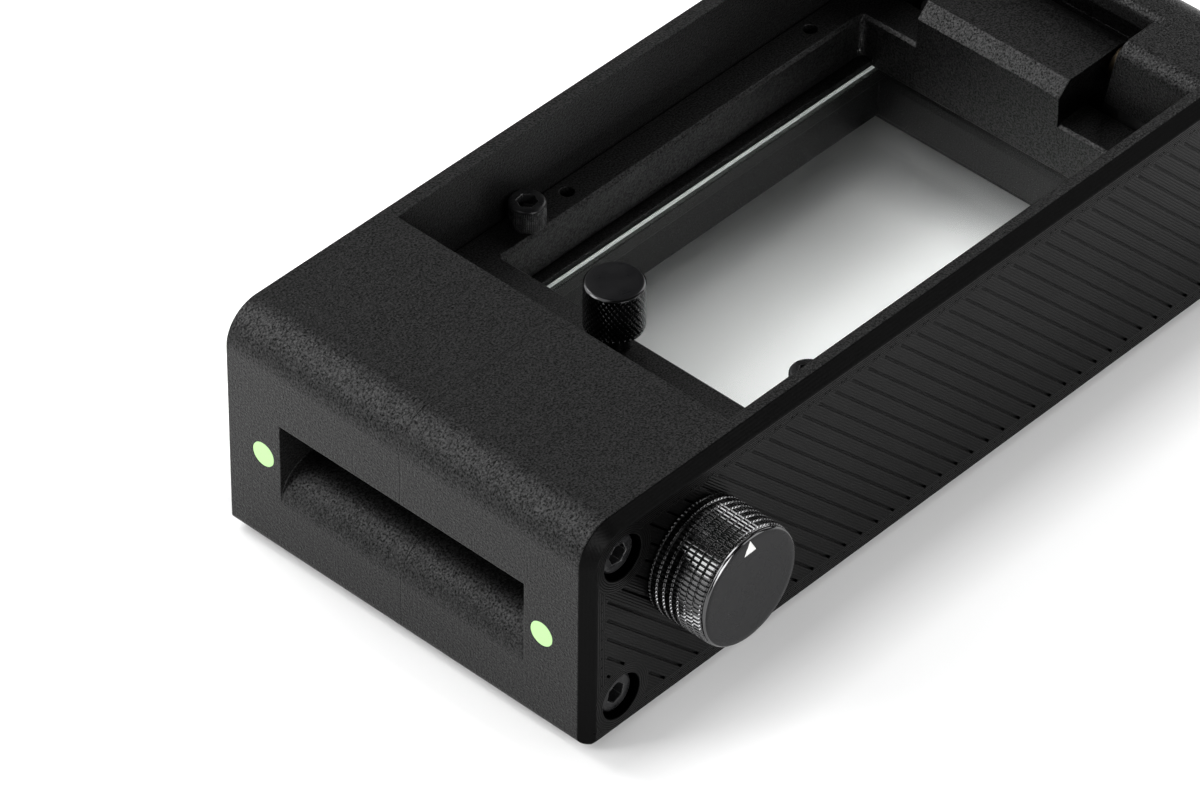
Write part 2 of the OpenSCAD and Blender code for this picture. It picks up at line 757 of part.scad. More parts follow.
module front_roller_tyres() {
    color("#3b3b3b") place() roller_tyres(drive_x, drive_z, front_r);
}

module rear_shaft() {
    color("#b9bbbe") place()
        bar_y(rear_shaft_d / 2, rear_roller_x, rear_z, slot_y0 - bearing_w - 1, slot_y1 + bearing_w + 1);
}

module rear_roller_core() {
    color("#2a2a2c") place() roller_core(rear_roller_x, rear_z, rear_r, rear_shaft_d / 2);
}

module rear_roller_tyres() {
    color("#3b3b3b") place() roller_tyres(rear_roller_x, rear_z, rear_r);
}

module rear_clip() {
    color("#8d8f92") place()
        tube_y(rear_shaft_d / 2 + 1.6, rear_shaft_d / 2 + 0.01, rear_roller_x, rear_z,
               roller_y1 + 0.1, slot_y1 - gap);
}

// Sliding blocks that hold the ends of a pinch axle
module carrier_pair(x) {
    for (y = [slot_y0 - carrier_t, slot_y1]) difference() {
        box([x - carrier_w / 2, y, pinch_z - carrier_h / 2],
            [x + carrier_w / 2, y + carrier_t, pinch_z + carrier_h / 2]);
        bar_y(pinch_axle_d / 2 + 0.01, x, pinch_z, y - 1, y + carrier_t + 1);
    }
}

module pinch_axle(x) {
    bar_y(pinch_axle_d / 2, x, pinch_z, slot_y0 - carrier_t + 0.1, slot_y1 + carrier_t - 0.1);
}

module pinch_roller(x) {
    tube_y(pinch_r, pinch_axle_d / 2 + fit, x, pinch_z, roller_y0 - 0.6, roller_y1 + 0.6);
}

module front_carriers() {
    color("#d8d6cf") place() carrier_pair(drive_x);
}

module front_pinch_axle() {
    color("#b9bbbe") place() pinch_axle(drive_x);
}

module front_pinch_roller() {
    color("#303031") place() pinch_roller(drive_x);
}

module rear_carriers() {
    color("#d8d6cf") place() carrier_pair(rear_roller_x);
}

module rear_pinch_axle() {
    color("#b9bbbe") place() pinch_axle(rear_roller_x);
}

module rear_pinch_roller() {
    color("#303031") place() pinch_roller(rear_roller_x);
}

// Side view of the cover's plate, with its front edge cut back so that it can swing up
module cover_outline() {
    polygon([[cover_x0, cover_top], [cover_x1, cover_top],
             [cover_x1, cover_low], [cover_x0 + 1, cover_low]]);
}

// Side view of the hinge block, chamfered in front and round about the pin
module hinge_block_outline() {
    polygon([[window_x1, cover_top - 1], [window_x1, hinge_top - hinge_chamfer],
             [window_x1 + hinge_chamfer, hinge_top], [hinge_x, hinge_top], [hinge_x, hinge_z - knuckle_r],
             [cover_x1, hinge_z - knuckle_r], [cover_x1, cover_top - 1]]);
    translate([hinge_x, hinge_z]) circle(knuckle_r);
}

module gate_cover() {
    color("#1b1b1c") place() difference() {
        union() {
            along_y(cover_y0, cover_y1) cover_outline();
            box([cover_x0 + 4, slot_y0 + 0.6, film_z + bar_gap],
                [window_x + 2, slot_y1 - 0.6, cover_low + eps]);
            box([window_x1 - 2, slot_y0 + 0.6, film_z + bar_gap],
                [cover_x1, slot_y1 - 0.6, cover_low + eps]);
            along_y(block_y0, block_y1) hinge_block_outline();
        }
        translate([window_x, cover_y - window_w / 2, film_z]) linear_extrude(cover_top)
            round_rect(window_l, window_w, 1.6);
        window_rim();
        bar_y(hinge_pin_d / 2 + 0.01, hinge_x, hinge_z, block_y0 - 1, block_y1 + 1);
        for (sy = [-1, 1])
            bar_z(cover_insert_r, level_screw_x, cover_y + sy * level_screw_y, cover_low - 1, cover_top + 1);
        for (s = accessory_spots()) bar_z(accessory_d / 2, s[0], s[1], cover_low - 1, cover_top + 1);
        bar_z(cover_insert_r, lift_x, cover_y, cover_top - stud_reach - 1, cover_top + 1);
    }
}

// Narrow bevel round the top of the window, open where the hinge block stands
module window_rim() {
    b = 0.7;
    y0 = cover_y - window_w / 2;
    y1 = cover_y + window_w / 2;
    along_y(y0, y1)
        polygon([[window_x - b, cover_top + eps], [window_x + 1, cover_top + eps],
                 [window_x + 1, cover_top - b - 1]]);
    for (side = [[y0, block_y0], [block_y1, y1]])
        along_y(side[0], side[1])
            polygon([[window_x1 + b, cover_top + eps], [window_x1 - 1, cover_top + eps],
                     [window_x1 - 1, cover_top - b - 1]]);
    for (edge = [[y0, 1], [y1, -1]])
        along_x(window_x, window_x1)
            polygon([[edge[0] - edge[1] * b, cover_top + eps], [edge[0] + edge[1], cover_top + eps],
                     [edge[0] + edge[1], cover_top - b - 1]]);
}

module hinge_pin() {
    reach = recess_low + bush_reach - 0.5;
    color("#b9bbbe") place() bar_y(hinge_pin_d / 2, hinge_x, hinge_z, cover_y - reach, cover_y + reach);
}

module level_screws() {
    color("#262627") place() for (sy = [-1, 1]) {
        y = cover_y + sy * level_screw_y;
        difference() {
            union() {
                bar_z(level_head_d / 2, level_screw_x, y, cover_top + 0.02, level_top);
                bar_z(level_shank_r, level_screw_x, y, rail_z + gap, cover_top + 0.03);
            }
            translate([level_screw_x, y, level_top - 2.8]) cylinder(r = level_key_r, h = 6, $fn = 6);
        }
    }
}

module level_inserts() {
    color("#b08d45") place() for (sy = [-1, 1])
        tube_z(cover_insert_r - 0.02, level_shank_r + 0.01, level_screw_x,
               cover_y + sy * level_screw_y, cover_low + 1, cover_top - 0.02);
}

module lift_insert() {
    color("#b08d45") place()
        tube_z(cover_insert_r - 0.02, stud_r + fit, lift_x, cover_y,
               cover_top - stud_reach - 0.6, cover_top - 0.02);
}

// Lifting knob: a head with a chamfered top on a narrow neck
module lift_knob() {
    r = lift_d / 2;
    color("#18181a") place() translate([lift_x, cover_y, lift_z]) rotate_extrude()
        polygon([[stud_r + 0.01, 0], [3.6, 0], [3.6, lift_neck_h], [r - 0.4, lift_neck_h],
                 [r, lift_neck_h + 0.4], [r, lift_neck_h + lift_h - 0.5], [r - 0.5, lift_neck_h + lift_h],
                 [0, lift_neck_h + lift_h], [0, lift_neck_h + stud_reach],
                 [stud_r + 0.01, lift_neck_h + stud_reach]]);
}

module lift_stud() {
    color("#a9abad") place()
        bar_z(stud_r, lift_x, cover_y, cover_top - stud_reach, lift_z + lift_neck_h + stud_reach - 0.1);
}

body_far_half();
body_near_half();
side_panel();
panel_screws();
panel_inserts();
seam_dowels();
film_bed();
bed_screws();
bed_inserts();
base_glass();
seat_magnets();
front_bearings();
rear_bearings();
hinge_bushes();
drag_washer();
glow_dots();
feet();
front_springs();
rear_springs();
knob();
knob_pointer();
knob_grub_screw();
drive_shaft();
shaft_clip();
front_roller_core();
front_roller_tyres();
rear_shaft();
rear_roller_core();
rear_roller_tyres();
rear_clip();
front_carriers();
front_pinch_axle();
front_pinch_roller();
rear_carriers();
rear_pinch_axle();
rear_pinch_roller();
gate_cover();
hinge_pin();
level_screws();
level_inserts();
lift_insert();
lift_knob();
lift_stud();
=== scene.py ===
import math

import bpy
import numpy as np
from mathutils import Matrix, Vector


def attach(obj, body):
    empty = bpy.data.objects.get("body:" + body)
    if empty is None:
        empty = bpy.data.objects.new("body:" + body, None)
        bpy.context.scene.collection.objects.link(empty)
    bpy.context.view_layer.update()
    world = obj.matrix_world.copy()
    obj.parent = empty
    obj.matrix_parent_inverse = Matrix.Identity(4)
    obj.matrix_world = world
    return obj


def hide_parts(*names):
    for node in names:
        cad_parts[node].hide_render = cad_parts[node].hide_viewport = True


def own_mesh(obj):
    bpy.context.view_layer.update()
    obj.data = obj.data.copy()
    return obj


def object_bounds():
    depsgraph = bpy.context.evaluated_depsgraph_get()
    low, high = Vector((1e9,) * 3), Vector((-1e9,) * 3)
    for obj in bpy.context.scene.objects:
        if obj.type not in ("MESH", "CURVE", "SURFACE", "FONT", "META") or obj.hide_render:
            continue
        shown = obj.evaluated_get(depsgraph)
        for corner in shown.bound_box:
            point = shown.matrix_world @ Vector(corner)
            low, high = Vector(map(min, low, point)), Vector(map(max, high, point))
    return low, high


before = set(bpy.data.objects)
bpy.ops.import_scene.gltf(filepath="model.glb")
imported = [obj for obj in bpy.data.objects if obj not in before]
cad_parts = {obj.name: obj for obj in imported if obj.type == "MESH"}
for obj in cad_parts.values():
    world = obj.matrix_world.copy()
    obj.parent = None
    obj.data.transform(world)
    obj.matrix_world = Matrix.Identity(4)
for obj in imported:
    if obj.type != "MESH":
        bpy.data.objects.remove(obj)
cad_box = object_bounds()

# Places in this script are in millimetres from the casing's front face (x), the
# outer face of the side panel (y) and the underside of the casing (z), as in the
# part's source. The model's box starts at the casing's front face, the tip of the
# winding knob and the soles of the feet. SHIFT takes places to the model's frame.
BOX_LOW, BOX_HIGH = np.round(np.array([list(corner) for corner in cad_box]) * 1000.0, 2)
KNOB_R, KNOB_L, KNOB_BASE_Y = 12.9, 14.3, -0.3
KNOB_TIP_Y = KNOB_BASE_Y - KNOB_L
FOOT_H = 1.8
SHIFT = BOX_LOW - np.array([0.0, KNOB_TIP_Y, -FOOT_H])
BODY_L = float(BOX_HIGH[0] - BOX_LOW[0])
BODY_W = float(BOX_HIGH[1] - BOX_LOW[1] + KNOB_TIP_Y)
BODY_H = float(BOX_HIGH[2] - BOX_LOW[2] - FOOT_H)

MID_Y = 48.25
COVER_Y = 49.6
DRIVE_X, DRIVE_Z = 28.4, 31.6
REAR_NIP_X = BODY_L - 14.6
LIFT_X, LIFT_R, LIFT_L, LIFT_Z = 60.2, 6.15, 15.0, 34.3
LEVEL_X, LEVEL_Y, LEVEL_TIP_Z = 74.8, 36.85, 23.3
PANEL_SCREW_X, PANEL_SCREW_LOW, PANEL_SCREW_HIGH, PANEL_SCREW_SUNK = 9.3, 7.7, 42.6, 1.35
GROOVE_STEP, GROOVE_FIRST, GROOVE_TOP = 4.66, 20.85, 46.0
SPRING_Y, SPRING_LOW, SPRING_HIGH = 33.7, 9.2, 13.5
PANE_X0, PANE_X1, PANE_HALF_W = 51.3, 175.3, 32.1
PANE_Z, FILM_Z = 20.02, 22.0

# How brightly the table glows away from the casing, and under the glass at the front and at the rear. The
# glow is painted light: it leaves a painted shadow round the casing, and painted shade on the table seen
# through the glass.
FLOOR_PAINTED_LIGHT = 0.34
UNDER_GLASS_PAINTED_LIGHT = (0.24, 0.5)


# Mesh helpers

def make_piece(name, points, faces, sharp=32.0):
    """A mesh object from an array of points in millimetres of the part's source
    and a list of faces, smooth but for edges that turn by more than sharp."""
    mesh = bpy.data.meshes.new(name)
    mesh.from_pydata(((points + SHIFT) / 1000.0).tolist(), [], faces)
    mesh.update()
    mesh.shade_smooth()
    mesh.set_sharp_from_angle(angle=math.radians(sharp))
    piece = bpy.data.objects.new(name, mesh)
    bpy.context.scene.collection.objects.link(piece)
    return piece


def ring_quads(rows, columns):
    """Four-sided faces between neighbouring rings of columns points each."""
    row = np.arange(rows - 1)[:, None] * columns
    here = np.arange(columns)[None, :]
    after = (here + 1) % columns
    return np.stack([row + here, row + after, row + columns + after,
                     row + columns + here], axis=-1).reshape(-1, 4).tolist()


def turned_faces(rows, columns):
    """Faces of a closed turned surface: rows of columns points each, then one
    point at the low end and one at the high end of its axis."""
    here = np.arange(columns)
    after = (here + 1) % columns
    low, high, last = rows * columns, rows * columns + 1, (rows - 1) * columns
    bottom = np.stack([np.full(columns, low), after, here], axis=-1)
    top = np.stack([np.full(columns, high), last + here, last + after], axis=-1)
    return ring_quads(rows, columns) + bottom.tolist() + top.tolist()


def turned_points(radius, height, angle):
    """Points of a turned surface: radius is a grid of rows by columns, height has
    one value a row, angle one a column. A point is (radius times cosine, radius
    times sine, height). The two end points sit on the axis at the end rows."""
    x = radius * np.cos(angle)[None, :]
    y = radius * np.sin(angle)[None, :]
    z = np.broadcast_to(height[:, None], x.shape)
    grid = np.stack([x, y, z], axis=-1).reshape(-1, 3)
    ends = np.array([[0.0, 0.0, height[0]], [0.0, 0.0, height[-1]]])
    return np.concatenate([grid, ends])


def turned_profile(foot, side_r, side, head):
    """Radius and height of the rows of a profile: the foot's, the side's at one
    radius, and the head's. The third array is 1 for the side's rows, else 0."""
    radius, height = np.array(foot + [(side_r, h) for h in side] + head).T
    on_side = np.zeros(len(height))
    on_side[len(foot):len(foot) + len(side)] = 1.0
    return radius, height, on_side


def spin(points, turn):
    """Points turned about the z axis, by an angle in radians."""
    c, s = math.cos(turn), math.sin(turn)
    return points @ np.array([[c, s, 0.0], [-s, c, 0.0], [0.0, 0.0, 1.0]])


def stand_up(points, x, y, z):
    """Turned points with their axis along z, from the place (x, y, z)."""
    return points + np.array([x, y, z])


def point_outwards(points, x, y, z):
    """Turned points with their axis along minus y, from the place (x, y, z)."""
    a, b, h = points.T
    return np.stack([a, -h, b], axis=-1) + np.array([x, y, z])


def join_pieces(parts):
    """Several (points, faces) pairs as one pair, with the face numbers moved on."""
    points, faces, start = [], [], 0
    for some_points, some_faces in parts:
        points.append(some_points)
        faces += [[start + i for i in face] for face in some_faces]
        start += len(some_points)
    return np.concatenate(points), faces


def groove(distance, half_width):
    """Depth share of a cut with straight flanks: 1 in its middle, 0 at its edge."""
    return np.clip(1.0 - np.abs(distance) / half_width, 0.0, 1.0)


def round_groove(distance, half_width):
    """Depth share of a cut with a round bottom: 1 in its middle, 0 at its edge."""
    return 1.0 - np.clip(np.abs(distance) / half_width, 0.0, 1.0) ** 2.6


def nearest(value, step):
    """Signed distance from value to the nearest whole multiple of step."""
    return value - step * np.round(value / step)


def one_step(cut_half, pad_middle, pad_half):
    """Places across one step of a knurl: five over the cut, three over the pad."""
    over_cut = cut_half * np.linspace(-1.0, 1.0, 5)
    over_pad = pad_middle + pad_half * np.linspace(-1.0, 1.0, 3)
    return np.concatenate([over_cut, over_pad])


# The two knobs

def winding_knob():
    """The winding knob. A profile of radius over length is turned about the
    winding axis. On its side the radius drops in ring grooves 1.77 mm apart and
    in 80 straight grooves along the axis, which leaves rows of small pads. Round
    the knob each pad is a little crowned: it drops with the square of the
    distance from its middle. A blind hole for the grub screw is the places within
    1.5 mm of its axis, pressed in to the screw's length."""
    teeth, tooth_half, tooth_depth, pad_middle, crown = 80, 0.23, 0.27, 0.505, 0.035
    rings, ring_step, ring_half, ring_depth, knurl_top = 8, 1.77, 0.28, 0.31, KNOB_L - 1.2
    hole_r, hole_z, hole_floor_r = 1.5, 4.6, 8.3
    face_z = KNOB_L - 0.03
    tooth_step = 2 * math.pi * KNOB_R / teeth
    across = one_step(tooth_half, pad_middle, 0.14)
    angle = ((np.arange(teeth)[:, None] * tooth_step + across[None, :]) / KNOB_R).ravel()
    along = one_step(ring_half, ring_step / 2, 0.305)
    ring_z = knurl_top - ring_step * np.arange(rings)[::-1]
    side = (ring_z[:, None] + along[None, :]).ravel()
    side = side[(side > 0.5) & (side < knurl_top + 0.2)]
    foot = [(2.53, 12.4), (2.53, 1.2), (6.0, 1.2), (6.0, 0.0), (12.3, 0.0), (12.6, 0.25)]
    head = [(12.55, knurl_top + 0.3), (12.62, knurl_top + 0.5), (12.62, KNOB_L - 0.42),
            (12.56, KNOB_L - 0.32), (12.26, KNOB_L - 0.05)] + [(r, face_z) for r in (12.2, 11.2, 7.5, 3.0)]
    plain, height, on_side = turned_profile(foot, KNOB_R - 0.02, side, head)
    ring_cut = ring_depth * round_groove(nearest(height - knurl_top, ring_step), ring_half)
    from_tooth = nearest(angle * KNOB_R, tooth_step)
    tooth_cut = tooth_depth * groove(from_tooth, tooth_half)
    tooth_cut += crown * (np.abs(from_tooth) / pad_middle - 1.0) ** 2
    radius = plain[:, None] - on_side[:, None] * (ring_cut[:, None] + tooth_cut[None, :])
    from_below = np.abs(np.angle(np.exp(1j * (angle + math.pi / 2)))) * KNOB_R
    from_hole = np.hypot(from_below[None, :], (height - hole_z)[:, None])
    hole = (from_hole < hole_r) & (on_side[:, None] > 0.5)
    radius = np.where(hole, hole_floor_r, radius)
    points = turned_points(radius, height, angle)
    points = point_outwards(points, DRIVE_X, KNOB_BASE_Y, DRIVE_Z)
    return make_piece("winding_knob", points, turned_faces(len(height), len(angle)), 28.0)


def lifting_knob():
    """The lifting knob: a neck, and a head with a diamond knurl. Two families of
    slanted grooves cross on its side: with p the number of the tooth round the
    head and q the height over 1.6 mm, one runs where p + q is whole and the
    other where p - q is whole."""
    teeth, rise, steps, cut_half, cut_depth = 34, 1.6, 10, 0.24, 0.24
    angle = np.arange(teeth * steps) * 2 * math.pi / (teeth * steps)
    side = np.arange(4.75, 14.3, rise / steps)
    foot = [(2.1, 9.9), (2.1, 0.0), (3.45, 0.0), (3.6, 0.15), (3.6, 4.0), (5.75, 4.0),
            (6.1, 4.3), (6.12, 4.6)]
    head = [(6.12, LIFT_L - 0.58), (6.12, LIFT_L - 0.45), (6.02, LIFT_L - 0.32),
            (5.72, LIFT_L - 0.07), (5.62, LIFT_L - 0.03), (5.4, LIFT_L), (3.0, LIFT_L)]
    plain, height, on_side = turned_profile(foot, LIFT_R - 0.01, side, head)
    p = angle[None, :] * teeth / (2 * math.pi)
    q = height[:, None] / rise
    cut = np.maximum(groove(nearest(p + q, 1.0), cut_half), groove(nearest(p - q, 1.0), cut_half))
    radius = plain[:, None] - on_side[:, None] * cut_depth * cut
    points = stand_up(turned_points(radius, height, angle), LIFT_X, COVER_Y, LIFT_Z)
    return make_piece("lifting_knob", points, turned_faces(len(height), len(angle)), 26.0)


# The screws

def cap_screw(shank_r, shank_l, head_r, head_h, key_r, teeth, pitch):
    """A cap screw with its axis along z from the tip of the shank. The shank's
    radius follows a screw line: it drops where height over pitch minus the turn
    is whole. The head's side has straight grooves, and the socket's wall is at
    key_r times cos 30 over the cosine of the angle to the nearest flat, which
    makes it six-sided."""
    thread_depth, groove_depth, groove_half = 0.3 * pitch, 0.13, 0.42
    columns = teeth * 4
    angle = np.arange(columns) * 2 * math.pi / columns
    top = shank_l + head_h
    foot = [(shank_r - 0.5, 0.0), (shank_r - 0.1, 0.4)]
    thread = [(shank_r - 0.01, h) for h in np.arange(0.5, shank_l - 0.35, pitch / 6)]
    under = [(shank_r - 0.05, shank_l - 0.3), (shank_r - 0.05, shank_l),
             (head_r - 0.25, shank_l), (head_r - 0.02, shank_l + 0.2)]
    side = [(head_r, shank_l + 0.5), (head_r, shank_l + head_h * 0.5), (head_r, top - 0.75)]
    rim = [(head_r - 0.02, top - 0.55), (head_r - 0.06, top - 0.4), (head_r - 0.2, top - 0.16),
           (head_r - 0.42, top - 0.03), (head_r - 0.6, top), (key_r + 0.45, top)]
    socket = [(key_r + 0.12, top - 0.02), (key_r, top - 0.16), (key_r, top - 0.6),
              (key_r, top - 2.4), (key_r * 0.93, top - 2.5), (key_r * 0.3, top - 2.85)]
    rows = foot + thread + under + side + rim + socket
    plain, height = np.array(rows).T
    radius = np.repeat(plain[:, None], columns, axis=1)
    first, last = len(foot), len(foot) + len(thread)
    turn = angle[None, :] / (2 * math.pi)
    wind = np.abs(nearest(height[first:last, None] / pitch - turn, 1.0)) * 2
    radius[first:last] -= thread_depth * (1.0 - wind)
    first = last + len(under)
    cut = groove(nearest(angle * teeth / (2 * math.pi), 1.0), groove_half)
    radius[first:first + len(side)] -= groove_depth * cut[None, :]
    flat = np.cos(nearest(angle - math.pi / 6, math.pi / 3))
    first = len(rows) - len(socket)
    radius[first:] *= (math.cos(math.pi / 6) / flat)[None, :]
    return turned_points(radius, height, angle), turned_faces(len(rows), columns)


def panel_cap_screws():
    """The four cap screws of the side panel, sunk in their holes."""
    shank_l, head_h = 5.3, 4.98
    points, faces = cap_screw(2.5, shank_l, 4.25, head_h, 2.3, 48, 0.8)
    tip_y = PANEL_SCREW_SUNK + shank_l + head_h
    spots = [(x, z) for x in (PANEL_SCREW_X, BODY_L - PANEL_SCREW_X)
             for z in (PANEL_SCREW_LOW, PANEL_SCREW_HIGH)]
    parts = [(point_outwards(spin(points, turn), x, tip_y, z), faces)
             for turn, (x, z) in zip((0.3, 0.9, 0.1, 0.7), spots)]
    return make_piece("panel_cap_screws", *join_pieces(parts))


def levelling_screws():
    """The two cap screws that set the height of the gate's free end."""
    points, faces = cap_screw(2.0, 10.7, 3.85, 5.5, 2.15, 54, 0.7)
    parts = [(stand_up(spin(points, turn), LEVEL_X, COVER_Y + side * LEVEL_Y, LEVEL_TIP_Z), faces)
             for turn, side in [(0.5, -1), (0.15, 1)]]
    return make_piece("levelling_screws", *join_pieces(parts))


# Springs and glass

def coil(x, y, low, high):
    """Wire wound round a vertical axis. The middle line climbs from low to high
    with its end turns lying flat, and the wire's round section stands across it,
    turned by a second parameter round the line."""
    turns, coil_r, wire_r, flat_share, sides = 5.0, 1.18, 0.26, 0.12, 12
    t = np.linspace(0.0, 1.0, 150)
    ease = np.clip((t - flat_share) / (1.0 - 2 * flat_share), 0.0, 1.0)
    climb = low + wire_r + (high - low - 2 * wire_r) * ease
    climb = climb + (t - ease) * wire_r * 2.0
    a = 2 * math.pi * turns * t
    line = np.stack([coil_r * np.cos(a), coil_r * np.sin(a), climb], axis=-1)
    forward = np.gradient(line, axis=0)
    forward /= np.linalg.norm(forward, axis=1, keepdims=True)
    out = np.stack([np.cos(a), np.sin(a), np.zeros_like(a)], axis=-1)
    over = np.cross(forward, out)
    b = np.linspace(0.0, 2 * math.pi, sides, endpoint=False)
    ring = np.cos(b)[None, :, None] * out[:, None, :] - np.sin(b)[None, :, None] * over[:, None, :]
    grid = (line[:, None, :] + wire_r * ring).reshape(-1, 3)
    points = np.concatenate([grid, line[:1], line[-1:]]) + np.array([x, y, 0.0])
    return points, turned_faces(len(t), sides)


def coil_springs(name, x):
    """The two springs below one pinch roller, one at each end of its axle."""
    coils = [coil(x, MID_Y + side * SPRING_Y, SPRING_LOW, SPRING_HIGH) for side in (-1, 1)]
    return make_piece(name, *join_pieces(coils), 60.0)


def glass_pane():
    """The glass: four rings of eight points, each a rectangle with its corners
    cut, the lowest and the highest drawn in by the ground edge, closed by one
    face below and one above. It casts no shadow on the film bed and the table."""
    corner = 1.0
    inset, z = np.array([(0.35, PANE_Z), (0.0, 20.3), (0.0, 21.7), (0.38, FILM_Z)]).T[:, :, None]
    to_x = np.array([-1, 1, 1, 1, 1, -1, -1, -1])
    to_y = np.array([-1, -1, -1, 1, 1, 1, 1, -1])
    cut = np.array([1, 1, 0, 0, 1, 1, 0, 0])
    x = (PANE_X0 + PANE_X1) / 2 + to_x * ((PANE_X1 - PANE_X0) / 2 - inset - corner * cut)
    y = MID_Y + to_y * (PANE_HALF_W - inset - corner * (1 - cut))
    points = np.stack([x, y, np.broadcast_to(z, x.shape)], axis=-1).reshape(-1, 3)
    faces = [list(range(7, -1, -1)), list(range(24, 32))] + ring_quads(4, 8)
    pane = make_piece("glass_pane", points, faces, 20.0)
    pane.visible_shadow = False
    return pane


# Node helpers

def node(tree, kind, inputs=None, **settings):
    """Adds one shader node, makes its settings and sets or joins its inputs."""
    made = tree.nodes.new("ShaderNode" + kind)
    for key, value in settings.items():
        setattr(made, key, value)
    for key, value in (inputs or {}).items():
        if isinstance(value, bpy.types.NodeSocket):
            tree.links.new(value, made.inputs[key])
        else:
            made.inputs[key].default_value = value
    return made


def calc(tree, operation, first, *others):
    """A Math node's output for numbers or sockets. Past the second value, each
    is taken together with the result of those before it."""
    made = node(tree, "Math", dict(enumerate((first, *others[:1]))), operation=operation)
    for value in others[1:]:
        made = node(tree, "Math", {0: made.outputs[0], 1: value}, operation=operation)
    return made.outputs[0]


def vector_calc(tree, operation, *values):
    """A Vector Math node's vector output."""
    return node(tree, "VectorMath", dict(enumerate(values)), operation=operation).outputs[0]


def ramp(tree, value, low, high, to_low=0.0, to_high=1.0, soft=False):
    """The value carried from low..high to to_low..to_high, and held at the ends."""
    made = node(tree, "MapRange", {0: value, 1: low, 2: high, 3: to_low, 4: to_high},
                interpolation_type="SMOOTHSTEP" if soft else "LINEAR")
    return made.outputs[0]


def below(tree, value, limit, blend=0.05):
    """1 where the value is below the limit, 0 above it, blended either side."""
    return ramp(tree, value, limit + blend, limit - blend)


def above(tree, value, limit, blend=0.1):
    """1 where the value is above the limit, 0 below it, blended either side."""
    return ramp(tree, value, limit - blend, limit + blend)


def reach(tree, across, up):
    """How far the place (across, up) lies from (0, 0)."""
    squares = [calc(tree, "MULTIPLY", value, value) for value in (across, up)]
    return calc(tree, "SQRT", calc(tree, "ADD", *squares))


def split(tree, place):
    """The x, y and z of a place."""
    return node(tree, "SeparateXYZ", {0: place}).outputs[:3]


def mix_colour(tree, share, first, second):
    """Two colours mixed: all first at share 0, all second at share 1."""
    return node(tree, "Mix", {0: share, 6: first, 7: second}, data_type="RGBA").outputs[2]


def mix_value(tree, share, first, second):
    """Two values mixed: all first at share 0, all second at share 1."""
    return node(tree, "Mix", {0: share, 2: first, 3: second}, data_type="FLOAT").outputs[0]


def noise(tree, place, scale, detail=2.0, roughness=0.5):
    """Noise over a place in millimetres; scale is in waves a millimetre."""
    inputs = {"Vector": place, "Scale": scale, "Detail": detail, "Roughness": roughness}
    return node(tree, "TexNoise", inputs).outputs[0]


def place_mm(tree):
    """Object coordinates in millimetres of the part's source."""
    spot = node(tree, "TexCoord").outputs["Object"]
    return node(tree, "Mapping", {0: spot, "Location": tuple(-SHIFT), "Scale": (1000,) * 3}).outputs[0]


def new_group(name, inputs, outputs):
    """A shader node group with named inputs, each (name, kind, value), and named
    outputs, each (name, kind): the group, what it is given and where it puts out."""
    group = bpy.data.node_groups.new(name, "ShaderNodeTree")
    for label, kind, value in inputs:
        socket = group.interface.new_socket(label, in_out="INPUT", socket_type="NodeSocket" + kind)
        if value is not None:
            socket.default_value = value
    for label, kind in outputs:
        group.interface.new_socket(label, in_out="OUTPUT", socket_type="NodeSocket" + kind)
    return group, group.nodes.new("NodeGroupInput").outputs, group.nodes.new("NodeGroupOutput").inputs


def put_out(tree, result, **sockets):
    """Joins sockets to a group's outputs."""
    for key, socket in sockets.items():
        tree.links.new(socket, result[key])


def use_group(tree, group, inputs):
    """Places a node group in a material with its own values."""
    return node(tree, "Group", inputs, node_tree=group).outputs


# Shared effects

def build_fine_grain():
    """Grain of a sintered or moulded face: fine noise with small round pits, and
    faint streaks along planes of one y, where the layers of the build lie. Speck
    marks a few round spots, one in some of the cells of a second pattern."""
    tree, given, result = new_group(
        "fine grain",
        [("Place", "Vector", None), ("Size", "Float", 0.4), ("Layers", "Float", 0.3)],
        [("Height", "Float"), ("Tone", "Float"), ("Fine", "Float"), ("Speck", "Float")])
    place = given["Place"]
    scale = calc(tree, "DIVIDE", 1.0, given["Size"])
    fine = noise(tree, place, scale, 4.0, 0.65)
    pits = node(tree, "TexVoronoi", {"Vector": place, "Scale": calc(tree, "MULTIPLY", scale, 0.9)},
                feature="SMOOTH_F1").outputs["Distance"]
    layers = noise(tree, vector_calc(tree, "MULTIPLY", place, (0.12, 2.6, 0.12)), 1.0, 2.0, 0.6)
    grain = calc(tree, "ADD", calc(tree, "MULTIPLY", fine, 0.7), calc(tree, "MULTIPLY", pits, 0.45))
    broad = noise(tree, place, 0.05, 3.0, 0.5)
    tone = calc(tree, "ADD", calc(tree, "MULTIPLY", fine, 0.6), calc(tree, "MULTIPLY", broad, 0.4))
    dots = node(tree, "TexVoronoi", {"Vector": place, "Scale": 0.8}, feature="F1")
    near = ramp(tree, dots.outputs["Distance"], 0.06, 0.12, 1.0, 0.0)
    chosen = ramp(tree, node(tree, "SeparateColor", {0: dots.outputs["Color"]}).outputs[0], 0.84, 0.88)
    put_out(tree, result, Height=mix_value(tree, given["Layers"], grain, layers), Tone=tone, Fine=fine,
            Speck=calc(tree, "MULTIPLY", near, chosen))
    return tree


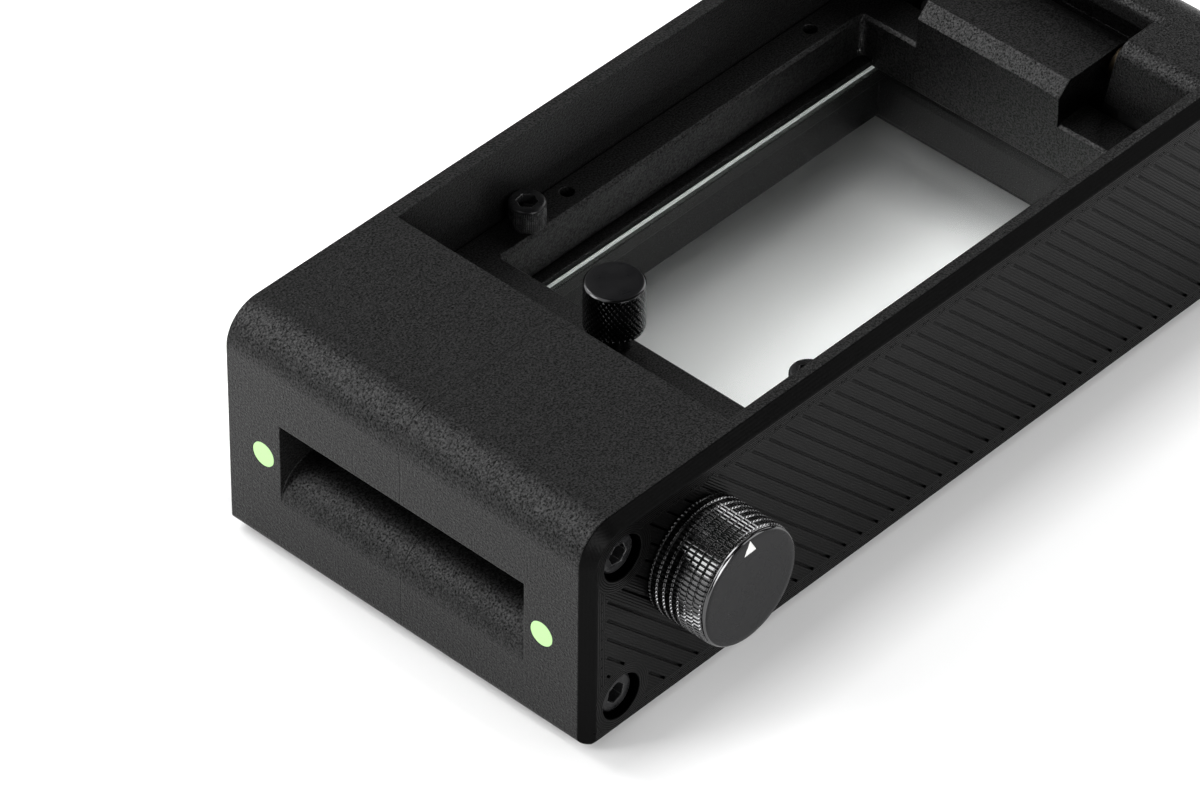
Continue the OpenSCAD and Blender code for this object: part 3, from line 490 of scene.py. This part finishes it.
def build_worn_edge():
    """Rounds each sharp edge a little in the shading, and marks where it lies."""
    tree, given, result = new_group(
        "worn edge", [("Place", "Vector", None), ("Wear", "Float", 0.5), ("Radius", "Float", 0.00035)],
        [("Normal", "Vector"), ("Mask", "Float")])
    rounded = node(tree, "Bevel", {"Radius": given["Radius"]}, samples=6).outputs[0]
    true = node(tree, "NewGeometry").outputs["Normal"]
    facing = node(tree, "VectorMath", {0: rounded, 1: true}, operation="DOT_PRODUCT").outputs["Value"]
    edge = ramp(tree, facing, 0.995, 0.86)
    patchy = ramp(tree, noise(tree, given["Place"], 0.8, 3.0, 0.6), 0.35, 0.65)
    put_out(tree, result, Normal=rounded, Mask=calc(tree, "MULTIPLY", edge, patchy, given["Wear"]))
    return tree


def build_turned_marks():
    """Fine rings of a turned face: noise that changes fast with the distance from
    the axis and along it, and hardly round it. Place has its axis along z."""
    tree, given, result = new_group(
        "turned marks", [("Place", "Vector", None), ("Count", "Float", 6.0)],
        [("Height", "Float"), ("Tone", "Float")])
    x, y, z = split(tree, given["Place"])
    spot = node(tree, "CombineXYZ", {0: calc(tree, "MULTIPLY", reach(tree, x, y), given["Count"]),
                                     1: calc(tree, "MULTIPLY", z, given["Count"]),
                                     2: calc(tree, "MULTIPLY", calc(tree, "ARCTAN2", y, x), 0.35)})
    put_out(tree, result, Height=noise(tree, spot.outputs[0], 1.0, 3.0, 0.6),
            Tone=noise(tree, given["Place"], 0.3, 3.0, 0.5))
    return tree


def build_smears():
    """Faint wiping marks: broad noise bent by a second noise."""
    tree, given, result = new_group(
        "smears", [("Place", "Vector", None), ("Scale", "Float", 0.05)], [("Mask", "Float")])
    bend = node(tree, "TexNoise", {"Vector": given["Place"], "Scale": 0.06}).outputs["Color"]
    moved = vector_calc(tree, "MULTIPLY_ADD", bend, (18.0, 18.0, 18.0), given["Place"])
    put_out(tree, result, Mask=ramp(tree, noise(tree, moved, given["Scale"], 4.0, 0.6), 0.42, 0.7))
    return tree


FINE_GRAIN = build_fine_grain()
WORN_EDGE = build_worn_edge()
TURNED_MARKS = build_turned_marks()
SMEARS = build_smears()


# Finishes

def new_finish(name, **values):
    """A material with one Principled shader, and its constant values set on it."""
    finish = bpy.data.materials.new(name)
    finish.use_nodes = True
    tree = finish.node_tree
    tree.nodes.clear()
    shader = node(tree, "BsdfPrincipled", values)
    tree.links.new(shader.outputs[0], node(tree, "OutputMaterial").inputs[0])
    return finish, tree, shader


def feed(tree, shader, **sockets):
    """Joins sockets to the shader's inputs; underscores stand for spaces."""
    for key, socket in sockets.items():
        tree.links.new(socket, shader.inputs[key.replace("_", " ")])


def bump(tree, height, depth_mm, normal=None):
    """A normal bent by a height of 0 to 1 that stands for depth_mm."""
    inputs = {"Height": height, "Distance": depth_mm / 1000.0, "Strength": 1.0}
    if normal is not None:
        inputs["Normal"] = normal
    return node(tree, "Bump", inputs).outputs[0]


def grey(value):
    """A grey colour."""
    return (value, value, value, 1.0)


def grain_over(tree, place, size, layers=0.0):
    """The fine grain, with grains of about size millimetres."""
    return use_group(tree, FINE_GRAIN, {"Place": place, "Size": size, "Layers": layers})


def cloudy(tree, tone, dark, light):
    """Two colours mixed by the middle stretch of an effect's tone."""
    return mix_colour(tree, ramp(tree, tone, 0.35, 0.65), dark, light)


def sintered_black(name, dark, light, size, depth, layers):
    """Black sintered plastic: grain in the bump, tone and roughness, faint build
    layers, a few pale specks and slightly polished edges. The deep spots of the
    grain are made metallic, so that their near-black colour takes their shine."""
    rough, spread, wear = 0.42, 0.06, 0.5
    finish, tree, shader = new_finish(name, **{"Specular IOR Level": 0.35})
    place = place_mm(tree)
    grain = grain_over(tree, place, size, layers)
    edge = use_group(tree, WORN_EDGE, {"Place": place, "Wear": wear})
    tone = cloudy(tree, grain["Tone"], grey(dark), grey(light))
    tone = mix_colour(tree, edge["Mask"], tone, grey(light * 1.9))
    tone = mix_colour(tree, calc(tree, "MULTIPLY", grain["Speck"], 0.6), tone, grey(0.09))
    roughness = ramp(tree, grain["Height"], 0.3, 0.8, rough + spread, rough - spread)
    roughness = calc(tree, "SUBTRACT", roughness, calc(tree, "MULTIPLY", edge["Mask"], 0.12))
    feed(tree, shader, Base_Color=tone, Roughness=roughness,
         Metallic=ramp(tree, grain["Fine"], 0.37, 0.61, 1.0, 0.0),
         Normal=bump(tree, grain["Height"], depth, edge["Normal"]))
    return finish


def panel_lines(tree, x, z, from_end, from_top, from_screw, in_rings):
    """Height of the side panel's print lines, from 0 between two to 1 on top of
    one: the sine of pi times distance over step. They run along the slanted
    grooves in the field, along the edges in the margin and round the screws."""
    def beads(distance, step):
        phase = calc(tree, "MULTIPLY", distance, math.pi / step)
        return calc(tree, "ABSOLUTE", calc(tree, "SINE", phase))

    margin_end, margin_low, margin_top, edge_step = 4.8, 3.7, 5.3, 0.5
    slant = calc(tree, "SUBTRACT", calc(tree, "ADD", x, z), GROOVE_FIRST)
    from_edge = calc(tree, "MINIMUM", from_end, z, from_top)
    in_margin = calc(tree, "MAXIMUM", below(tree, from_end, margin_end), below(tree, z, margin_low),
                     below(tree, from_top, margin_top))
    lines = mix_value(tree, in_margin, beads(slant, GROOVE_STEP / 6), beads(from_edge, edge_step))
    return mix_value(tree, in_rings, lines, beads(from_screw, edge_step))


def panel_pits(tree, x, z, from_end):
    """Two masks for where a print line turns back. Pits are the places near
    points that repeat along the margins, half a groove's step apart, and in pairs
    above each groove. A hook is the lower half of a ring through such a pair."""
    hook_z, hook_r, hook_shift, hook_half = 47.5, 0.65, 2.1, 0.21
    end_pits_x, low_pits_z, pit_step = 3.75, 2.75, GROOVE_STEP / 2

    def spot(across, up, radius):
        return ramp(tree, reach(tree, across, up), radius * 0.7, radius, 1.0, 0.0)

    def wrapped(value, step):
        ahead = calc(tree, "MODULO", calc(tree, "ADD", value, step * 100.5), step)
        return calc(tree, "SUBTRACT", ahead, step / 2)

    along = wrapped(calc(tree, "SUBTRACT", x, GROOVE_FIRST - GROOVE_TOP + hook_shift), GROOVE_STEP)
    up = calc(tree, "SUBTRACT", z, hook_z)
    pair = calc(tree, "MAXIMUM", spot(calc(tree, "ADD", along, hook_r), up, 0.3),
                spot(calc(tree, "SUBTRACT", along, hook_r), up, 0.3))
    off_ring = calc(tree, "ABSOLUTE", calc(tree, "SUBTRACT", reach(tree, along, up), hook_r))
    ring = below(tree, off_ring, hook_half)
    off_end = above(tree, from_end, 5.1)
    end_pits = spot(calc(tree, "SUBTRACT", from_end, end_pits_x), wrapped(z, pit_step), 0.24)
    low_pits = spot(wrapped(x, pit_step), calc(tree, "SUBTRACT", z, low_pits_z), 0.24)
    pits = calc(tree, "MAXIMUM", calc(tree, "MULTIPLY", pair, off_end), end_pits, low_pits)
    return pits, calc(tree, "MULTIPLY", ring, below(tree, up, -0.2), off_end)


def printed_panel():
    """The side panel's black face, with its print lines, pits and hooks in the bump. The bevel's lines are
    flatter. Hollows of the lines, floors of the grooves, screw holes and pits are painted with shade: their
    colour darkens, and there the metallic value rises over a near-black colour, which takes away their
    shine."""
    rings_r, bevel, low_bevel = 7.5, 3.9, 0.9
    finish, tree, shader = new_finish("panel black", **{"Specular IOR Level": 0.03})
    place = place_mm(tree)
    x, y, z = split(tree, place)
    from_end = calc(tree, "MINIMUM", x, calc(tree, "SUBTRACT", BODY_L, x))
    from_top = calc(tree, "SUBTRACT", BODY_H, z)
    screw_gaps = [calc(tree, "ABSOLUTE", calc(tree, "SUBTRACT", z, screw_z))
                  for screw_z in (PANEL_SCREW_LOW, PANEL_SCREW_HIGH)]
    from_screw = reach(tree, calc(tree, "SUBTRACT", from_end, PANEL_SCREW_X),
                       calc(tree, "MINIMUM", *screw_gaps))
    in_rings = below(tree, from_screw, rings_r)
    off_bevel = calc(tree, "MINIMUM", above(tree, calc(tree, "MINIMUM", from_end, from_top), bevel),
                     above(tree, z, low_bevel))
    below_face = ramp(tree, y, 0.05, 0.2)
    on_bevel = calc(tree, "MULTIPLY", below_face, calc(tree, "SUBTRACT", 1.0, off_bevel))
    lines = panel_lines(tree, x, z, from_end, from_top, from_screw, in_rings)
    lines = mix_value(tree, calc(tree, "MULTIPLY", on_bevel, 0.85), lines, 0.6)
    pits, hooks = panel_pits(tree, x, z, from_end)
    outer = ramp(tree, y, 0.4, 0.9, 1.0, 0.0)
    pits = calc(tree, "MULTIPLY", pits, outer, calc(tree, "SUBTRACT", 1.0, in_rings))
    hooks = calc(tree, "MULTIPLY", hooks, outer)
    grain = grain_over(tree, place, 0.35)
    edge = use_group(tree, WORN_EDGE, {"Place": place, "Wear": 0.5})
    height = calc(tree, "ADD", calc(tree, "MULTIPLY", lines, 0.75),
                  calc(tree, "MULTIPLY", grain["Height"], 0.3), calc(tree, "MULTIPLY", hooks, 0.8))
    height = calc(tree, "SUBTRACT", height, calc(tree, "MULTIPLY", pits, 2.5))
    # Painted shade: pits, and the groove floors and screw holes below the face.
    deep = calc(tree, "MAXIMUM", pits, calc(tree, "MULTIPLY", below_face, off_bevel))
    tone = cloudy(tree, grain["Tone"], grey(0.0024), grey(0.004))
    # Painted shade in the hollows of the print lines.
    tone = mix_colour(tree, lines, grey(0.001), tone)
    tone = mix_colour(tree, edge["Mask"], tone, grey(0.011))
    # Painted shade: the hollows below the face take a near-black colour.
    tone = mix_colour(tree, deep, tone, grey(0.0006))
    # Metallic over near-black takes the shine away: painted shade in the line hollows and the hollows below
    # the face, and random dull spots of the grain.
    dull_grain_and_painted_shade = calc(tree, "MAXIMUM", ramp(tree, lines, 0.1, 0.75, 0.85, 0.0),
                    ramp(tree, grain["Fine"], 0.32, 0.64, 0.7, 0.0), calc(tree, "MULTIPLY", deep, 0.93))
    roughness = calc(tree, "ADD", ramp(tree, grain["Tone"], 0.3, 0.7, 0.38, 0.3),
                     calc(tree, "MULTIPLY", pits, 0.4))
    feed(tree, shader, Base_Color=tone, Roughness=roughness, Metallic=dull_grain_and_painted_shade,
         Normal=bump(tree, height, 0.07, edge["Normal"]))
    return finish


def turned_metal(name, dark, light, rough, centre=(0.0, 0.0, 0.0), turn=(0.0, 0.0, 0.0), metal=1.0,
                 depth=0.006, count=6.0, wear=0.5, worn=(0.5, 0.5, 0.5), shine=0.5, corner=0.35,
                 face=None, side=(0.0, 0.0, 0.0)):
    """A turned face: rings in the bump, cloudy tone and roughness, and edges
    rubbed towards the worn colour. The Mapping nodes bring its axis to z. Corner
    is the radius in millimetres that its sharp edges seem to have. Face, where
    given, is the height of an end face of plain colour and shine, rougher by
    0.16 than the side, which is then metallic and has the side colour."""
    finish, tree, shader = new_finish(name, **{"Specular IOR Level": shine, "Metallic": metal})
    place = place_mm(tree)
    centred = node(tree, "Mapping", {0: place, "Location": tuple(-c for c in centre)}).outputs[0]
    axis = node(tree, "Mapping", {0: centred, "Rotation": turn}).outputs[0]
    marks = use_group(tree, TURNED_MARKS, {"Place": axis, "Count": count})
    edge = use_group(tree, WORN_EDGE, {"Place": place, "Wear": wear, "Radius": corner / 1000.0})
    tone = cloudy(tree, marks["Tone"], (*dark, 1.0), (*light, 1.0))
    roughness = calc(tree, "ADD", ramp(tree, marks["Tone"], 0.3, 0.7, rough - 0.05, rough + 0.06),
                     calc(tree, "MULTIPLY", calc(tree, "SUBTRACT", marks["Height"], 0.5), 0.12))
    if face is not None:
        on_face = ramp(tree, split(tree, axis)[2], face - 0.04, face)
        tone = mix_colour(tree, on_face, (*side, 1.0), tone)
        roughness = calc(tree, "ADD", roughness, calc(tree, "MULTIPLY", on_face, 0.16))
        feed(tree, shader, Metallic=calc(tree, "SUBTRACT", 1.0, on_face))
    tone = mix_colour(tree, edge["Mask"], tone, (*worn, 1.0))
    feed(tree, shader, Base_Color=tone, Roughness=roughness,
         Normal=bump(tree, marks["Height"], depth, edge["Normal"]))
    return finish


def soft_matt(name, dark, light, rough, size, depth, sheen=0.0):
    """Rubber, felt, acetal or paint: fine grain over a cloudy tone."""
    finish, tree, shader = new_finish(name, **{"Sheen Weight": sheen, "Sheen Roughness": 0.5})
    place = place_mm(tree)
    grain = grain_over(tree, place, size)
    edge = use_group(tree, WORN_EDGE, {"Place": place, "Wear": 0.4})
    feed(tree, shader, Base_Color=cloudy(tree, grain["Tone"], (*dark, 1.0), (*light, 1.0)),
         Roughness=ramp(tree, grain["Height"], 0.3, 0.8, rough + 0.07, rough - 0.05),
         Normal=bump(tree, grain["Height"], depth, edge["Normal"]))
    return finish


def pane_glass():
    """Clear float glass with faint wiping marks in its roughness and bump."""
    finish, tree, shader = new_finish("clear glass", **{
        "Base Color": (0.97, 0.985, 0.975, 1.0), "Metallic": 0.0, "Transmission Weight": 1.0, "IOR": 1.5})
    place = place_mm(tree)
    mask = use_group(tree, SMEARS, {"Place": place, "Scale": 0.05})["Mask"]
    feed(tree, shader, Roughness=ramp(tree, mask, 0.0, 1.0, 0.0, 0.035),
         Normal=bump(tree, noise(tree, place, 0.03, 1.0), 0.004))
    return finish


def ground_glass():
    """The pane's ground edge, which scatters light and so looks pale. Its faint emission is a painted glow.
    """
    finish, tree, shader = new_finish("ground glass edge", **{
        "Metallic": 0.0, "Transmission Weight": 0.35, "IOR": 1.5, "Emission Strength": 0.03})
    grain = grain_over(tree, place_mm(tree), 0.15)
    tone = mix_colour(tree, grain["Tone"], (0.72, 0.78, 0.75, 1.0), (0.93, 0.96, 0.94, 1.0))
    # Emission Color takes the edge's tone: a painted glow.
    feed(tree, shader, Base_Color=tone, Emission_Color=tone,
         Roughness=ramp(tree, grain["Height"], 0.3, 0.8, 0.6, 0.4),
         Normal=bump(tree, grain["Height"], 0.01))
    return finish


def luminous_paint():
    """Pale green luminous dots: powdery, with a faint glow of their own."""
    finish, tree, shader = new_finish("luminous green", **{"Emission Strength": 0.1})
    grain = grain_over(tree, place_mm(tree), 0.25)
    tone = mix_colour(tree, ramp(tree, grain["Tone"], 0.3, 0.7), (0.37, 0.62, 0.26, 1.0),
                      (0.42, 0.69, 0.30, 1.0))
    feed(tree, shader, Base_Color=tone, Emission_Color=tone,
         Roughness=ramp(tree, grain["Height"], 0.3, 0.8, 0.75, 0.6),
         Normal=bump(tree, grain["Height"], 0.02))
    return finish


def pale_floor():
    """A plain white table top, hardly mottled, that glows a little: the glow is painted light. Round the
    casing the glow starts 6 mm off and grows to 24 mm, which paints a shadow round the casing. Under the
    casing it paints light on the table seen through the glass, with painted shade along its far side and at
    its two ends, and stops 12 mm inside the casing's walls."""
    finish, tree, shader = new_finish("white table", **{"Specular IOR Level": 0.2, "Emission Strength": 1.0})
    place = place_mm(tree)
    cloud = noise(tree, place, 0.004, 3.0, 0.5)
    x, y, _ = split(tree, place)
    past = []
    for value, size in [(x, BODY_L), (y, BODY_W)]:
        off_middle = calc(tree, "ABSOLUTE", calc(tree, "SUBTRACT", value, size / 2))
        past.append(calc(tree, "SUBTRACT", off_middle, size / 2))
    away = reach(tree, *[calc(tree, "MAXIMUM", value, 0.0) for value in past])
    # Painted light round the casing: none within 6 mm, which paints the casing's shadow on the table.
    painted_light_round_casing = ramp(tree, away, 6.0, 24.0, 0.0, FLOOR_PAINTED_LIGHT)
    # Painted light on the table under the glass, with painted shade near the walls, towards the front, at
    # the rear end and along the far side.
    under = [ramp(tree, calc(tree, "MAXIMUM", *past), -20.0, -12.0, 1.0, 0.0),
             ramp(tree, x, 80.0, 140.0, *UNDER_GLASS_PAINTED_LIGHT), ramp(tree, x, 158.0, 172.0, 1.0, 0.0),
             ramp(tree, y, 48.0, 81.0, 1.0, 0.0)]
    feed(tree, shader, Base_Color=mix_colour(tree, cloud, grey(0.84), grey(0.87)),
         Emission_Color=calc(tree, "MAXIMUM", painted_light_round_casing, calc(tree, "MULTIPLY", *under)),
         Roughness=ramp(tree, cloud, 0.3, 0.7, 0.6, 0.7))
    return finish


ALONG_Y = (math.pi / 2, 0.0, 0.0)
OUT_OF_PANEL = (-math.pi / 2, 0.0, 0.0)

FINISHES = {
    "casing": sintered_black("casing black", 0.0042, 0.0062, 0.42, 0.17, 0.2),
    "panel": printed_panel(),
    "cover": sintered_black("cover black", 0.0035, 0.005, 0.4, 0.1, 0.2),
    "bed": sintered_black("bed black", 0.004, 0.0055, 0.3, 0.04, 0.6),
    "black_steel": turned_metal("black oxide steel", (0.006, 0.006, 0.0065), (0.012, 0.012, 0.0125), 0.27,
                                metal=0.2, worn=(0.2, 0.2, 0.2), wear=0.8, shine=0.22, corner=0.18),
    "brass": turned_metal("brass", (0.62, 0.43, 0.16), (0.75, 0.55, 0.23), 0.3, worn=(0.85, 0.68, 0.34)),
    "steel": turned_metal("bright steel", (0.52, 0.53, 0.54), (0.66, 0.66, 0.67), 0.22,
                          turn=ALONG_Y, worn=(0.8, 0.8, 0.8)),
    "spring_steel": turned_metal("spring steel", (0.42, 0.42, 0.43), (0.55, 0.55, 0.56), 0.26,
                                 worn=(0.7, 0.7, 0.7)),
    "magnet": turned_metal("plated magnet", (0.66, 0.66, 0.65), (0.78, 0.78, 0.77), 0.16,
                           worn=(0.85, 0.85, 0.85)),
    # The hinge bushes sit in a shaded gap: their near-black bronze colour is painted shade.
    "bronze": turned_metal("shade-darkened bronze", (0.028, 0.022, 0.015), (0.045, 0.035, 0.023), 0.42,
                           turn=ALONG_Y, worn=(0.10, 0.078, 0.05)),
    "knob_black": turned_metal("knob black", (0.0025, 0.0025, 0.003), (0.004, 0.004, 0.0045), 0.12,
                               centre=(DRIVE_X, KNOB_BASE_Y, DRIVE_Z), turn=OUT_OF_PANEL, metal=0.0,
                               depth=0.003, count=5.0, worn=(0.25, 0.25, 0.25), wear=0.3, shine=0.11,
                               corner=0.04, face=KNOB_L - 0.05, side=(0.075, 0.075, 0.076)),
    "pointer_white": soft_matt("pointer white", (0.46, 0.46, 0.45), (0.52, 0.52, 0.51), 0.45, 0.3, 0.01),
    "roller_core": turned_metal("turned black plastic", (0.006, 0.006, 0.006), (0.012, 0.012, 0.012), 0.42,
                                turn=ALONG_Y, metal=0.0, worn=(0.03, 0.03, 0.03)),
    "rubber": soft_matt("roller rubber", (0.014, 0.014, 0.014), (0.024, 0.024, 0.024), 0.72, 0.35, 0.03),
    "foot_rubber": soft_matt("foot rubber", (0.02, 0.02, 0.02), (0.032, 0.032, 0.032), 0.8, 0.5, 0.05),
    "carrier": soft_matt("carrier acetal", (0.62, 0.62, 0.59), (0.7, 0.7, 0.67), 0.4, 0.4, 0.01),
    "felt": soft_matt("felt", (0.09, 0.088, 0.08), (0.15, 0.147, 0.135), 0.95, 0.25, 0.12, sheen=0.4),
    "glow": luminous_paint(),
    "glass": pane_glass(),
}
LIFT_BLACK = turned_metal("lifting knob black", (0.0025, 0.0025, 0.003), (0.004, 0.004, 0.0045), 0.17,
                          centre=(LIFT_X, COVER_Y, 0.0), metal=0.0, depth=0.003, count=5.0,
                          worn=(0.012, 0.012, 0.012), wear=0.4, shine=0.11, corner=0.07,
                          face=LIFT_Z + LIFT_L - 0.05, side=(0.05, 0.05, 0.051))
GROUND_EDGE = ground_glass()

SLOT_NODES = {
    "casing": ["body_far_half", "body_near_half"],
    "panel": ["side_panel"],
    "cover": ["gate_cover"],
    "bed": ["film_bed"],
    "black_steel": ["bed_screws", "knob_grub_screw"],
    "brass": ["panel_inserts", "bed_inserts", "level_inserts", "lift_insert"],
    "steel": ["seam_dowels", "front_bearings", "rear_bearings", "drive_shaft", "rear_shaft",
              "front_pinch_axle", "rear_pinch_axle", "hinge_pin", "lift_stud"],
    "spring_steel": ["shaft_clip", "rear_clip"],
    "magnet": ["seat_magnets"],
    "bronze": ["hinge_bushes"],
    "pointer_white": ["knob_pointer"],
    "roller_core": ["front_roller_core", "rear_roller_core", "front_pinch_roller", "rear_pinch_roller"],
    "rubber": ["front_roller_tyres", "rear_roller_tyres"],
    "foot_rubber": ["feet"],
    "carrier": ["front_carriers", "rear_carriers"],
    "felt": ["drag_washer"],
    "glow": ["glow_dots"],
}


def give_finish(piece, finish):
    """Puts a finish in every material slot of a piece, or in a new one."""
    if not piece.data.materials:
        piece.data.materials.append(finish)
    for i in range(len(piece.data.materials)):
        piece.data.materials[i] = finish


def place_piece(piece, body, slot, nodes, finish=None):
    """Gives a new piece its finish, its body and the CAD nodes it stands for."""
    give_finish(piece, finish or FINISHES[slot])
    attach(piece, body)
    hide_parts(*nodes)
    return piece


for slot, names in SLOT_NODES.items():
    for name in names:
        give_finish(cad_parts[name], FINISHES[slot])

place_piece(winding_knob(), "winder", "knob_black", ["knob"])
place_piece(lifting_knob(), "lifter", "knob_black", ["lift_knob"], LIFT_BLACK)
place_piece(panel_cap_screws(), "casing", "black_steel", ["panel_screws"])
place_piece(levelling_screws(), "gate", "black_steel", ["level_screws"])
for name, x, joint, cad in [("front_coil_springs", DRIVE_X, "front_nip", "front_springs"),
                            ("rear_coil_springs", REAR_NIP_X, "rear_nip", "rear_springs")]:
    springs = place_piece(coil_springs(name, x), "casing", "spring_steel", [cad])
    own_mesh(springs)
pane = place_piece(glass_pane(), "casing", "glass", ["base_glass"])
pane.data.materials.append(GROUND_EDGE)
for face in pane.data.polygons:
    if abs(face.normal.z) < 0.9:
        face.material_index = 1


# The studio

def white_table():
    """A flat sheet of 12 by 12 squares, 6 m wide, that the part stands on."""
    count = 12
    side = np.linspace(-3.0, 3.0, count + 1)
    x, y = np.meshgrid(side, side, indexing="xy")
    points = np.stack([x, y, np.zeros_like(x)], axis=-1).reshape(-1, 3)
    near = np.arange(count)[:, None] * (count + 1) + np.arange(count)[None, :]
    far = near + count + 1
    faces = np.stack([near, near + 1, far + 1, far], axis=-1).reshape(-1, 4)
    mesh = bpy.data.meshes.new("table")
    mesh.from_pydata(points.tolist(), [], faces.tolist())
    table = bpy.data.objects.new("table", mesh)
    table.data.materials.append(pale_floor())
    bpy.context.scene.collection.objects.link(table)


def soft_light(name, turn, height, size, power):
    """A square soft light that looks at the middle of the part from 1.6 m away.
    Turn is in degrees from the x axis, height in degrees above the table."""
    middle, distance = Vector((0.0, 0.0, 0.03)), 1.6
    lamp = bpy.data.lights.new(name, "AREA")
    lamp.shape = "SQUARE"
    lamp.size = size
    lamp.energy = power
    turn, height = math.radians(turn), math.radians(height)
    away = Vector((math.cos(turn) * math.cos(height), math.sin(turn) * math.cos(height), math.sin(height)))
    light = bpy.data.objects.new(name, lamp)
    light.location = middle + away * distance
    light.rotation_mode = "QUATERNION"
    light.rotation_quaternion = away.to_track_quat("Z", "Y")
    bpy.context.scene.collection.objects.link(light)


def studio_world():
    """A dim light from all round, dimmest near the horizon."""
    world = bpy.data.worlds.new("studio")
    bpy.context.scene.world = world
    world.use_nodes = True
    tree = world.node_tree
    tree.nodes.clear()
    height = split(tree, node(tree, "TexCoord").outputs["Generated"])[2]
    strength = ramp(tree, height, 0.0, 0.6, 0.03, 0.06, soft=True)
    back = node(tree, "Background", {"Color": (1.0, 1.0, 1.0, 1.0), "Strength": strength})
    tree.links.new(back.outputs[0], node(tree, "OutputWorld").inputs[0])


def camera_at_photo():
    """The camera at the photograph's place and angle, with a long lens."""
    spot, turns = (-0.820553, -0.704327, 0.939364), (49.0032, -0.4719, -46.9257)
    lens = bpy.data.cameras.new("camera")
    lens.sensor_width, lens.lens = 36.0, 217.463
    lens.clip_start, lens.clip_end = 0.05, 20.0
    camera = bpy.data.objects.new("camera", lens)
    camera.location = spot
    camera.rotation_euler = [math.radians(turn) for turn in turns]
    bpy.context.scene.collection.objects.link(camera)
    bpy.context.scene.camera = camera


white_table()
for light in [("left", 142, 34, 0.6, 8.6), ("high left", 165, 50, 1.0, 4.5), ("low left", 148, 13, 0.7, 3.4),
              ("right", 0, 30, 1.2, 14.8), ("far", 110, 30, 1.0, 10.0), ("far right", 68, 35, 1.0, 2.8),
              ("high far", 96, 47, 0.6, 11.0), ("low near", -105, 15, 0.8, 27.0),
              ("low right", -55, 16, 0.8, 6.0), ("low front", 190, 12, 0.8, 3.0)]:
    soft_light(*light)
studio_world()
camera_at_photo()
bpy.context.scene.view_settings.view_transform = "Standard"
